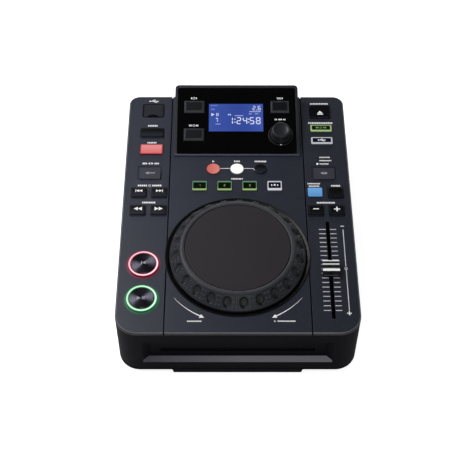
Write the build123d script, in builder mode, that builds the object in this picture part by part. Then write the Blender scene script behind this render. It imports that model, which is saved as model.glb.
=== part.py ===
from build123d import *
import os
from math import atan2, cos, radians, sin, sqrt, tan

# Tabletop slot-in disc player for DJs, in millimetres.
# Origin: on the table, in the middle of the case's plan.  +X is the player's
# right, +Y its back, +Z up.  Each block below makes one piece of the player,
# in the order in which it would be put together on a bench.

# ---------------------------------------------------------------- case
CASE_W = 220.0
CASE_D = 288.0
CASE_H = 62.8            # underside of the case to the top of the deck
FOOT_H = 7.0
FOOT_R = 11.0
FOOT_INSET_X = 26.0      # foot's centre from the case's side
FOOT_INSET_Y = 32.0
WALL = 3.0
FRONT_CORNER_R = 20.0
BACK_CORNER_R = 10.5
CASE_EDGE_R = 1.5        # rounding of the case's lower edge
TRAY_T = 1.5             # sheet steel
PAN_W = 121.2            # pan pressed into the tray under the drive
PAN_BEHIND = 6.0         # how far the pan runs on behind the drive
PAN_DEEP = 6.0
PAN_FRONT_GAP = 0.4
PAN_TAPER = 13.0         # degrees, of the pan's sides
FIT = 0.3                # gap round a loose or moving piece
RUN_FIT = 0.05           # radial gap of a shaft in its bore
CASE_SIDE_X = CASE_W / 2
CASE_FRONT_Y = -CASE_D / 2
CASE_BACK_Y = CASE_D / 2

# ---------------------------------------------------------------- deck plates
DECK_T = 3.0
SEAM_IN = 44.2           # seams between the three plates, from the case's sides
SEAM_X = CASE_SIDE_X - SEAM_IN
SEAM_GAP = 1.2
EDGE_BEVEL = 1.2
RAIL_W = 4.2             # rail under each seam
RAIL_H = 6.0
RAIL_OUT = 1.4           # how far the rail reaches under the outer plate

# ---------------------------------------------------------------- front recess and disc slot
SLOT_W = 141.0
SLOT_H = 5.8
SLOT_MID_H = 25.7        # above the underside of the case
RECESS_DEEP = 6.0
RECESS_W = 160.0         # at its floor
RECESS_TOP_H = 47.0
RECESS_SILL_H = 17.5     # inner edge of the sloping sill
RECESS_LIP_H = 13.5      # outer edge of the sill
RECESS_FLARE = 6.5       # how much wider each side is at the face

# ---------------------------------------------------------------- keys
KEY_RISE = 1.6
KEY_TRAVEL = 1.2
KEY_LIP = 1.0
KEY_LIP_T = 1.0
KEY_STEM_R = 2.0
KEY_CORNER = 1.2
KEY_BEVEL = 0.4
KEY_FRAME_DEEP = 0.6     # sunk frame round the larger keys
SWITCH_SIZE = 6.0        # tact switch under each key
SWITCH_H = 2.2
BOARD_T = 1.6
BOARD_LEDGE = 4.0
BOARD_FRONT_IN = 24.0    # ends of the left key board, from the case's ends
BOARD_BACK_IN = 14.0
BOARD_SPARE = 6.3        # board in front of its first row of keys
BANK_BOARD_SPARE = 10.3

# The columns are measured in from the case's sides, and the rows from its back.
LEFT_COLUMN_IN = 25.0
RIGHT_COLUMN_IN = 24.7
LEFT_X = LEFT_COLUMN_IN - CASE_SIDE_X
RIGHT_X = CASE_SIDE_X - RIGHT_COLUMN_IN
PAIR_PITCH = 19.9        # between two small keys side by side
SMALL_KEY = (14.0, 10.3)
BANK_KEY = (14.1, 11.8)
BANK_PITCH = 24.3
LOOP_PITCH = 23.2
SINGLE_IN = 51.6
BRAKE_IN = 73.8
FRAME_IN = 103.8         # frames of the reverse and jog mode keys
TRACK_IN = 129.1
SEARCH_IN = 150.7
EJECT_FRAME_IN = 22.0
DISC_KEY_IN = 45.6
USB_KEY_IN = 62.3
TEMPO_IN = 128.7
LOOP_IN = 99.2
BANK_IN = 120.7
LOOP_Y = CASE_BACK_Y - LOOP_IN
BANK_Y = CASE_BACK_Y - BANK_IN
TRACK_Y = CASE_BACK_Y - TRACK_IN
SEARCH_Y = CASE_BACK_Y - SEARCH_IN
TEMPO_Y = CASE_BACK_Y - TEMPO_IN
FRAME_Y = CASE_BACK_Y - FRAME_IN
EJECT_FRAME_Y = CASE_BACK_Y - EJECT_FRAME_IN
FRAME_W = 25.0
FRAME_D = 17.5
EJECT_FRAME_D = 19.1
FRAMED_KEY_DROP = 1.6    # a framed key lies this far forward in its frame
EJECT_KEY_DROP = 0.6

# name: (x, y, width, depth)
LEFT_KEYS = {
    "btn_single": (LEFT_X, CASE_BACK_Y - SINGLE_IN, 22.7, 10.4),
    "btn_brake": (LEFT_X, CASE_BACK_Y - BRAKE_IN, 22.4, 12.7),
    "btn_reverse": (LEFT_X, FRAME_Y - FRAMED_KEY_DROP, 20.5, 13.4),
    "btn_track_back": (LEFT_X - PAIR_PITCH / 2, TRACK_Y, *SMALL_KEY),
    "btn_track_forward": (LEFT_X + PAIR_PITCH / 2, TRACK_Y, *SMALL_KEY),
    "btn_search_back": (LEFT_X - PAIR_PITCH / 2, SEARCH_Y, *SMALL_KEY),
    "btn_search_forward": (LEFT_X + PAIR_PITCH / 2, SEARCH_Y, *SMALL_KEY),
}
RIGHT_KEYS = {
    "btn_eject": (RIGHT_X, EJECT_FRAME_Y - EJECT_KEY_DROP, 20.4, 16.6),
    "btn_source_disc": (RIGHT_X, CASE_BACK_Y - DISC_KEY_IN, 21.5, 9.2),
    "btn_source_usb": (RIGHT_X, CASE_BACK_Y - USB_KEY_IN, 21.5, 9.2),
    "btn_jog_mode": (RIGHT_X, FRAME_Y - FRAMED_KEY_DROP, 20.5, 13.4),
    "btn_master_tempo": (RIGHT_X - PAIR_PITCH / 2, TEMPO_Y, 14.0, 11.0),
    "btn_pitch_range": (RIGHT_X + PAIR_PITCH / 2, TEMPO_Y, 14.0, 11.0),
    "btn_bend_down": (RIGHT_X - PAIR_PITCH / 2, SEARCH_Y, *SMALL_KEY),
    "btn_bend_up": (RIGHT_X + PAIR_PITCH / 2, SEARCH_Y, *SMALL_KEY),
}
BANK_KEYS = {
    "btn_hot_1": (-1.5 * BANK_PITCH, BANK_Y, *BANK_KEY),
    "btn_hot_2": (-0.5 * BANK_PITCH, BANK_Y, *BANK_KEY),
    "btn_hot_3": (0.5 * BANK_PITCH, BANK_Y, *BANK_KEY),
    "btn_memo": (1.5 * BANK_PITCH, BANK_Y, *BANK_KEY),
}
# name: (x, y, radius)
LOOP_KEYS = {
    "btn_loop_in": (-LOOP_PITCH, LOOP_Y, 6.5),
    "btn_loop_out": (0.0, LOOP_Y, 6.5),
    "btn_reloop": (LOOP_PITCH, LOOP_Y, 5.9),
}
SINK_FRAMES = {          # (x, y, width, depth) of the sunk frames
    "btn_reverse": (LEFT_X, FRAME_Y, FRAME_W, FRAME_D),
    "btn_jog_mode": (RIGHT_X, FRAME_Y, FRAME_W, FRAME_D),
    "btn_eject": (RIGHT_X, EJECT_FRAME_Y, FRAME_W, EJECT_FRAME_D),
}

# ---------------------------------------------------------------- cue and play keys
ROUND_COLUMN_IN = 23.2   # from the case's side
CUE_IN = 74.2            # from its front face
PLAY_IN = 36.1
ROUND_X = ROUND_COLUMN_IN - CASE_SIDE_X
ROUND_KEYS = {"btn_cue": CASE_FRONT_Y + CUE_IN, "btn_play": CASE_FRONT_Y + PLAY_IN}
ROUND_KEY_R = 11.3
ROUND_KEY_RISE = 2.6
RING_R = 14.4
RING_RISE = 2.0
RING_FLANGE = 1.6
RING_FLANGE_T = 1.0

# ---------------------------------------------------------------- USB pocket
USB_IN = 20.7            # from the case's back face
USB_Y = CASE_BACK_Y - USB_IN
USB_W = 20.3
USB_D = 17.0
USB_COVER_T = 2.4
USB_NOTCH_R = 7.5        # finger notch in the cover's front edge
USB_NOTCH_DEEP = 3.0
USB_SOCKET = (14.5, 7.0, 13.6)
USB_MOUTH = (12.5, 5.1, 12.0)
USB_TONGUE = (11.0, 2.0)

# ---------------------------------------------------------------- pitch fader
FADER_FRONT_GAP = 9.8    # case's front face to the housing
FADER_BACK_GAP = 7.5     # housing to the middle of the row of keys behind it
FADER_SPARE = 20.0       # housing longer than the travel
FADER_FRONT_Y = CASE_FRONT_Y + FADER_FRONT_GAP
FADER_BACK_Y = SEARCH_Y - FADER_BACK_GAP
FADER_MID_Y = (FADER_FRONT_Y + FADER_BACK_Y) / 2
FADER_HALF_TRAVEL = (FADER_BACK_Y - FADER_FRONT_Y - FADER_SPARE) / 2
FADER_SLOT_W = 3.5
FADER_END_GAP = 2.0      # from the blade to the slot's end at full travel
FADER_REST = -1.9        # rest place of the cap from the middle of the slot
FADER_CAP_W = 15.7
FADER_CAP_D = 15.0
FADER_CAP_H = 7.2
FADER_CAP_LIFT = 0.5
FADER_HOUSING = (14.0, FADER_BACK_Y - FADER_FRONT_Y, 10.0)
FADER_SHEET = 1.2
FADER_BLADE = (2.4, 5.0)
FADER_SLIDER = (9.0, 9.0, 3.0)

# ---------------------------------------------------------------- jog wheel
# The bezel fills the room between the front of the deck and the row of cue
# keys, or between the seams, whichever is less.
JOG_FRONT_GAP = 17.8     # case's front face to the bezel
JOG_BACK_GAP = 15.7      # bezel to the middle of the row of cue keys
BEZEL_LAP = 1.1          # bezel over the middle of each seam
JOG_LOW_Y = CASE_FRONT_Y + JOG_FRONT_GAP
JOG_HIGH_Y = BANK_Y - JOG_BACK_GAP
JOG_Y = (JOG_LOW_Y + JOG_HIGH_Y) / 2
BEZEL_R = min(SEAM_X + BEZEL_LAP, (JOG_HIGH_Y - JOG_LOW_Y) / 2)
BEZEL_T = 0.5
BEZEL_FLANGE = 2.7       # flange of the cup, which lies on the deck
CUP_R = BEZEL_R - BEZEL_FLANGE
CUP_WALL = 1.5
BEZEL_SHOWS = 3.7        # black ring left round the wheel
WHEEL_R = BEZEL_R - BEZEL_SHOWS
WHEEL_LIFT = 0.9         # underside of the wheel's outer edge above the deck
WHEEL_EDGE_H = 2.4       # top of the wheel's outer edge above the deck
SKIRT_DROP = 2.5         # how far the wheel's skirt hangs into its cup
SKIRT_GAP = 0.7
CONE_RUN = 10.4          # wheel's edge to its rim, across
RIM_R = WHEEL_R - CONE_RUN
RIM_H = 14.1
RIM_W = 4.3
PLATE_R = RIM_R - RIM_W
PLATE_T = 2.5
PLATE_GAP = 0.5
WEB_T = 3.0
WHEEL_WALL = 3.2
DIMPLES = 24
DIMPLE_BALL_R = 10.0
DIMPLE_DEEP = 1.1
DIMPLE_PHASE = 5.1       # degrees, where the first dimple stands at rest
CUP_DEEP = 4.0
CUP_FLOOR_T = 2.0
CUP_HOLE_R = 30.0
JOG_PIN_R = 4.0
JOG_HUB_R = 9.0
JOG_BASE_R = 45.0
JOG_BASE_T = 2.5
ENCODER_R = 34.0
ENCODER_T = 1.5
ENCODER_SLOTS = 36
ENCODER_SLOT_W = 2.5
ENCODER_SLOT_H = 5.0
JOG_SENSOR = (6.0, 4.0, 6.0)

# ---------------------------------------------------------------- display hood
HOOD_SIDE_GAP = 3.4      # hood's side to the middle of the seam
HOOD_BACK_IN = 1.7       # from the case's back face
HOOD_D = 80.6
HOOD_W = 2 * (SEAM_X - HOOD_SIDE_GAP)
HOOD_BACK_Y = CASE_BACK_Y - HOOD_BACK_IN
HOOD_FRONT_Y = HOOD_BACK_Y - HOOD_D
HOOD_LIP = 1.6           # height of the hood's front edge
HOOD_RISE = 18.0         # height of its back edge
HOOD_WALL = 2.5
HOOD_CORNER_R = 4.0
FASCIA_IN = 2.65         # fascia's side to the hood's side
FASCIA_W = HOOD_W - 2 * FASCIA_IN
FASCIA_LOW = 1.6         # the fascia's ends, measured up the slope
FASCIA_HIGH = 79.0
FASCIA_T = 1.2
FASCIA_CORNER_R = 2.0
LCD_X = -0.7
LCD_S = 44.0
LCD_IN = 35.15           # display's sides to the hood's sides
LCD_W = HOOD_W - 2 * LCD_IN
LCD_D = 34.0
LCD_SINK = 0.6
LCD_GAP = 0.1
DISPLAY_BOARD_IN = 7.4
DISPLAY_BOARD = (HOOD_W - 2 * DISPLAY_BOARD_IN, 60.0)
DISPLAY_BOARD_S = 44.0
DISPLAY_BOARD_DROP = 9.0     # fascia's face to the board's face
HOOD_BOSS_IN = 19.4
HOOD_BOSS_X = HOOD_W / 2 - HOOD_BOSS_IN
HOOD_BOSSES = ((0.0, 19.0), (0.0, 70.0), (-HOOD_BOSS_X, 39.5), (HOOD_BOSS_X, 39.5))
HOOD_BOSS_R = 2.5
HOOD_OPENING_IN = 8.8    # opening's sides to the seams
HOOD_OPENING_BACK = 38.0 # opening's middle, from the case's back face
HOOD_OPENING = (2 * (SEAM_X - HOOD_OPENING_IN), 64.0)
HOOD_OPENING_Y = CASE_BACK_Y - HOOD_OPENING_BACK
HOOD_LEFT_IN = 19.5      # keys' middle to the hood's side
HOOD_RIGHT_IN = 18.8
HOOD_LEFT_X = HOOD_LEFT_IN - HOOD_W / 2
HOOD_ROWS = (23.3, 55.7)
# name: (x, distance up the slope, width, depth)
HOOD_KEYS = {
    "btn_time": (HOOD_LEFT_X, HOOD_ROWS[1], 20.2, 14.0),
    "btn_repeat": (HOOD_LEFT_X, HOOD_ROWS[0], 20.2, 14.0),
    "btn_program": (HOOD_W / 2 - HOOD_RIGHT_IN, HOOD_ROWS[1], 18.6, 14.0),
}
HOOD_KEY_RISE = 2.2
HOOD_KEY_BEVEL = 1.2
KNOB_IN = 18.5           # knob's middle to the hood's side
KNOB_X = HOOD_W / 2 - KNOB_IN
KNOB_S = HOOD_ROWS[0]
KNOB_R = 10.5
KNOB_TOP_R = 8.7
KNOB_H = 10.0
KNOB_TRAVEL = 0.6
KNOB_CAP_T = 2.4
COLLAR_R = 12.4
COLLAR_H = 0.8
COLLAR_GAP = 0.5
SHAFT_R = 3.0
SHAFT_HOLE_R = 4.0
ENCODER_BODY = (12.0, 12.0, 4.6)

# ---------------------------------------------------------------- slot-in drive
DRIVE_HALF_W = 72.0
DRIVE_D = 164.0
DRIVE_FRONT_IN = 14.0    # from the case's front face
DRIVE_FRONT_Y = CASE_FRONT_Y + DRIVE_FRONT_IN
DRIVE_BACK_Y = DRIVE_FRONT_Y + DRIVE_D
PAN_BACK_Y = DRIVE_BACK_Y + PAN_BEHIND
DRIVE_FLOOR_Z = 14.0
DRIVE_WALL_TOP = 46.0
DRIVE_SHEET = 1.5
DRIVE_COVER_T = 1.2
DAMPER_R = 5.0
DAMPER_INSET_X = 5.5
DAMPER_INSET_Y = 12.0
SPINDLE_IN = 85.0        # spindle to the drive's front
SPINDLE_Y = DRIVE_FRONT_Y + SPINDLE_IN
SPINDLE_MOTOR_R = 12.0
SPINDLE_MOTOR_H = 9.5
SPINDLE_PIN_R = 1.5
TURNTABLE_R = 14.5
TURNTABLE_T = 3.0
DISC_T = 1.2
DISC_HOLE_R = 7.5
HUB_CONE_H = 2.6
CLAMPER_R = 13.0
CLAMPER_FLANGE_R = 17.0
CLAMPER_T = 1.2
CLAMPER_HOLE_R = 15.0
SLED_TRAVEL = 35.0
SLED_START = 23.0        # lens to spindle with the sled at its inner stop
SLED_W = 52.0
SLED_D = 14.0
SLED_H = 9.0
ROD_SPARE = 5.0          # rod beyond the sled at its outer stop
SLED_Z = 17.5
LENS_R = 3.0
LENS_H = 1.5
ROD_R = 1.5
ROD_X = 22.0
ROD_Z = 20.5
ROLLER_IN = 10.0         # roller to the drive's front
ROLLER_Y = DRIVE_FRONT_Y + ROLLER_IN
ROLLER_R = 5.0
ROLLER_HALF_L = 62.0
ROLLER_AXLE_R = 2.0
ROLLER_GEAR_R = 7.0
ROLLER_GEAR_T = 4.0
LOADING_MOTOR_R = 7.0
LOADING_MOTOR_L = 24.0

# ---------------------------------------------------------------- boards, sockets and screws
POST_R = 3.0
POST_H = 4.5
POST_INSET = 5.0
BOARD_SIDE_IN = 20.0     # boards on the tray, from the case's sides
BOARD_APART = 12.0
MAIN_FRONT_GAP = 14.0    # drive to the main board
MAIN_BACK_IN = 16.0      # board to the case's back face
SUPPLY_FRONT_GAP = 15.0
SUPPLY_BACK_IN = 17.0
SUPPLY_W = 60.0
SUPPLY_LOW_X = BOARD_SIDE_IN - CASE_SIDE_X
MAIN_LOW_X = SUPPLY_LOW_X + SUPPLY_W + BOARD_APART
MAIN_HIGH_X = CASE_SIDE_X - BOARD_SIDE_IN
MAIN_LOW_Y = DRIVE_BACK_Y + MAIN_FRONT_GAP
MAIN_HIGH_Y = CASE_BACK_Y - MAIN_BACK_IN
SUPPLY_LOW_Y = DRIVE_BACK_Y + SUPPLY_FRONT_GAP
SUPPLY_HIGH_Y = CASE_BACK_Y - SUPPLY_BACK_IN
MAIN_BOARD = (MAIN_HIGH_X - MAIN_LOW_X, MAIN_HIGH_Y - MAIN_LOW_Y)
MAIN_BOARD_AT = ((MAIN_LOW_X + MAIN_HIGH_X) / 2, (MAIN_LOW_Y + MAIN_HIGH_Y) / 2)
MAIN_CHIPS = ((-30.0, 10.0, 22.0, 22.0, 2.0), (5.0, -8.0, 28.0, 28.0, 2.4), (38.0, 14.0, 12.0, 20.0, 8.0))
SUPPLY_BOARD = (SUPPLY_W, SUPPLY_HIGH_Y - SUPPLY_LOW_Y)
SUPPLY_BOARD_AT = (SUPPLY_LOW_X + SUPPLY_W / 2, (SUPPLY_LOW_Y + SUPPLY_HIGH_Y) / 2)
SUPPLY_PARTS = ((-12.0, -14.0, 30.0, 26.0, 24.0), (17.0, -8.0, 14.0, 14.0, 22.0))
NICHE_W = 110.0
NICHE_IN = 10.0          # niche's right end to the case's side
NICHE_HIGH_X = CASE_SIDE_X - NICHE_IN
NICHE_X = (NICHE_HIGH_X - NICHE_W, NICHE_HIGH_X)
NICHE_Z = (18.0, 40.0)
NICHE_DEEP = 9.0
# Two line outputs and the digital output, from the niche's right end.
JACKS_IN = (88.0, 72.0, 54.0)
JACKS_X = [NICHE_HIGH_X - jack_in for jack_in in JACKS_IN]
JACK_R = 4.15
JACK_GAP = 0.1           # round each socket in the back wall
JACK_BORE_R = 3.1
JACK_PIN_R = 1.0
JACK_OUT = 8.0
JACK_BLOCK = (11.0, 10.0, 12.0)
JACK_Z = 29.0
REMOTE_IN = 36.0
REMOTE_X = NICHE_HIGH_X - REMOTE_IN
REMOTE_R = 3.0
REMOTE_BORE_R = 1.8
DATA_IN = 16.0
DATA_X = NICHE_HIGH_X - DATA_IN
DATA_BLOCK = (12.0, 11.0, 14.0)
DATA_MOUTH = (8.4, 7.4)
INLET_IN = 27.5          # from the case's side
INLET_X = INLET_IN - CASE_SIDE_X
INLET_Z = 28.0
INLET_BODY = (27.0, 19.5, 20.0)
INLET_MOUTH = (24.0, 16.0, 16.0)
INLET_PIN = (2.0, 4.0, 13.0)
INLET_PINS = ((-7.0, -2.0), (0.0, 4.0), (7.0, -2.0))
POWER_APART = 30.5       # rocker to the inlet
POWER_X = INLET_X + POWER_APART
ROCKER_W = 11.0
ROCKER_R = 8.5
ROCKER_TILT = 8.0        # degrees each way from the middle
ROCKER_FACE = 4.5
ROCKER_PIVOT_IN = 6.5    # pivot behind the case's back face
ROCKER_DEEP = 3.0        # rocker behind its pivot
ROCKER_PIN_R = 1.2
POWER_WALL = 1.5
SCREW_R = 1.45
SCREW_PILOT_R = 1.5
SCREW_HOLE_R = 1.8
SCREW_HEAD_R = 3.2
SCREW_HEAD_H = 1.6
SCREW_L = 14.0
SCREW_POST_R = 4.2
SCREW_POST_H = 22.0
SCREW_INSET_X = 12.0
SCREW_INSET_Y = 26.0
SCREW_YS = (CASE_FRONT_Y + SCREW_INSET_Y, 0.0, CASE_BACK_Y - SCREW_INSET_Y)

# ---------------------------------------------------------------- derived levels and places
TRAY_TOP = FOOT_H + TRAY_T
DECK_TOP = FOOT_H + CASE_H
DECK_UNDER = DECK_TOP - DECK_T
BOARD_TOP = DECK_UNDER - RAIL_H
BOARD_UNDER = BOARD_TOP - BOARD_T
KEY_FOOT = BOARD_TOP + SWITCH_H + KEY_TRAVEL + FIT
ROCKER_PIVOT_Y = CASE_BACK_Y - ROCKER_PIVOT_IN
RAIL_X = SEAM_X + RAIL_OUT - RAIL_W / 2
BOARD_LOW_Y = CASE_FRONT_Y + BOARD_FRONT_IN
BOARD_HIGH_Y = CASE_BACK_Y - BOARD_BACK_IN
SLOT_Z = FOOT_H + SLOT_MID_H
DISC_UNDER = SLOT_Z - DISC_T / 2
CUP_FLOOR = DECK_TOP - CUP_DEEP
CUP_UNDER = CUP_FLOOR - CUP_FLOOR_T
WEB_TOP = DECK_TOP + RIM_H - PLATE_T
WEB_UNDER = WEB_TOP - WEB_T
DRIVE_FLOOR_TOP = DRIVE_FLOOR_Z + DRIVE_SHEET
SPINDLE_TOP = DRIVE_FLOOR_TOP + SPINDLE_MOTOR_H
FADER_SLOT = 2 * (FADER_HALF_TRAVEL + FADER_END_GAP) + FADER_BLADE[1]
KNOB_LIFT = KNOB_TRAVEL + FIT
SHAFT_FOOT = KNOB_TRAVEL + FIT - DISPLAY_BOARD_DROP
SCREWS = [(side * (CASE_W / 2 - SCREW_INSET_X), y) for side in (-1, 1) for y in SCREW_YS]
FEET = [
    (side * (CASE_W / 2 - FOOT_INSET_X), end * (CASE_D / 2 - FOOT_INSET_Y))
    for side in (-1, 1)
    for end in (-1, 1)
]
HOOD_RUN = HOOD_BACK_Y - HOOD_FRONT_Y
HOOD_TILT = atan2(HOOD_RISE - HOOD_LIP, HOOD_RUN)
# The slope of the hood: x to the right, y up the slope, z out of its face.
HOOD_FACE = Plane(
    origin=(0, HOOD_FRONT_Y, DECK_TOP + HOOD_LIP),
    x_dir=(1, 0, 0),
    z_dir=(0, -sin(HOOD_TILT), cos(HOOD_TILT)),
)
HOOD_OUT = Axis(HOOD_FACE.origin, HOOD_FACE.z_dir)
JOG_FACE = Plane(origin=(0, JOG_Y, DECK_TOP))

os.makedirs("parts", exist_ok=True)


def case_outline(z, inset=0.0):
    """Draw the plan of the case at height z, moved in by inset all round."""
    with BuildSketch(Plane.XY.offset(z)) as plan:
        Rectangle(CASE_W - 2 * inset, CASE_D - 2 * inset)
        fillet(plan.vertices().group_by(Axis.Y)[0], FRONT_CORNER_R - inset)
        fillet(plan.vertices().group_by(Axis.Y)[-1], BACK_CORNER_R - inset)
    return plan.sketch


def block(x, y, z_low, z_high, width, depth, mode=Mode.ADD):
    """Add or cut an upright block, centred on x, y, between two heights."""
    with BuildSketch(Plane.XY.offset(z_low)) as foot:
        with Locations((x, y)):
            Rectangle(width, depth)
    extrude(foot.sketch, amount=z_high - z_low, mode=mode)


def post(x, y, z_low, z_high, radius, mode=Mode.ADD):
    """Add or cut an upright cylinder between two heights."""
    with BuildSketch(Plane.XY.offset(z_low)) as foot:
        with Locations((x, y)):
            Circle(radius)
    extrude(foot.sketch, amount=z_high - z_low, mode=mode)


def slope_block(x, s, h_low, h_high, width, depth, corner=0.0, mode=Mode.ADD):
    """Add or cut a block that stands square on the hood's slope."""
    with BuildSketch(HOOD_FACE.offset(h_low)) as foot:
        with Locations((x, s)):
            if corner > 0:
                RectangleRounded(width, depth, corner)
            else:
                Rectangle(width, depth)
    extrude(foot.sketch, amount=h_high - h_low, mode=mode)


def slope_post(x, s, h_low, h_high, radius, mode=Mode.ADD):
    """Add or cut a cylinder that stands square on the hood's slope."""
    with BuildSketch(HOOD_FACE.offset(h_low)) as foot:
        with Locations((x, s)):
            Circle(radius)
    extrude(foot.sketch, amount=h_high - h_low, mode=mode)


# ================================================================ base
def pan(inset, mode=Mode.ADD):
    """Add the pan under the tray, or cut its inside, moved in by inset all round."""
    front_y = CASE_FRONT_Y + PAN_FRONT_GAP + inset
    deep = PAN_DEEP - inset
    half = PAN_W / 2 - inset
    foot_half = half - deep * tan(radians(PAN_TAPER))
    with BuildSketch(Plane.XZ.offset(-front_y)) as end:
        with BuildLine():
            Polyline(
                (-half, FOOT_H),
                (-foot_half, FOOT_H - deep),
                (foot_half, FOOT_H - deep),
                (half, FOOT_H),
                close=True,
            )
        make_face()
    extrude(end.sketch, amount=-(PAN_BACK_Y - inset - front_y), mode=mode)


with BuildPart() as base_tray:
    extrude(case_outline(FOOT_H), amount=TRAY_T)
    pan(0)
    pan(TRAY_T, mode=Mode.SUBTRACT)
    pan_mid_y = (CASE_FRONT_Y + PAN_FRONT_GAP + PAN_BACK_Y) / 2
    pan_d = PAN_BACK_Y - CASE_FRONT_Y - PAN_FRONT_GAP
    block(0, pan_mid_y, FOOT_H, TRAY_TOP, PAN_W - 2 * TRAY_T, pan_d - 2 * TRAY_T, mode=Mode.SUBTRACT)
    for board, at in ((MAIN_BOARD, MAIN_BOARD_AT), (SUPPLY_BOARD, SUPPLY_BOARD_AT)):
        for side in (-1, 1):
            for end in (-1, 1):
                post_x = at[0] + side * (board[0] / 2 - POST_INSET)
                post_y = at[1] + end * (board[1] / 2 - POST_INSET)
                post(post_x, post_y, TRAY_TOP, TRAY_TOP + POST_H, POST_R)
    for screw_x, screw_y in SCREWS:
        post(screw_x, screw_y, FOOT_H, TRAY_TOP, SCREW_HOLE_R, mode=Mode.SUBTRACT)
base_tray.part.label = "base_tray"
export_step(base_tray.part, "parts/base_tray.step")

with BuildPart() as feet:
    for foot_x, foot_y in FEET:
        post(foot_x, foot_y, 0, FOOT_H, FOOT_R)
    chamfer(feet.faces().group_by(Axis.Z)[0].edges(), 1.0)
feet.part.label = "feet"
export_step(feet.part, "parts/feet.step")

with BuildPart() as case_screws:
    for screw_x, screw_y in SCREWS:
        post(screw_x, screw_y, FOOT_H - SCREW_HEAD_H, FOOT_H, SCREW_HEAD_R)
        post(screw_x, screw_y, FOOT_H, FOOT_H + SCREW_L, SCREW_R)
case_screws.part.label = "case_screws"
export_step(case_screws.part, "parts/case_screws.step")

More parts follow.
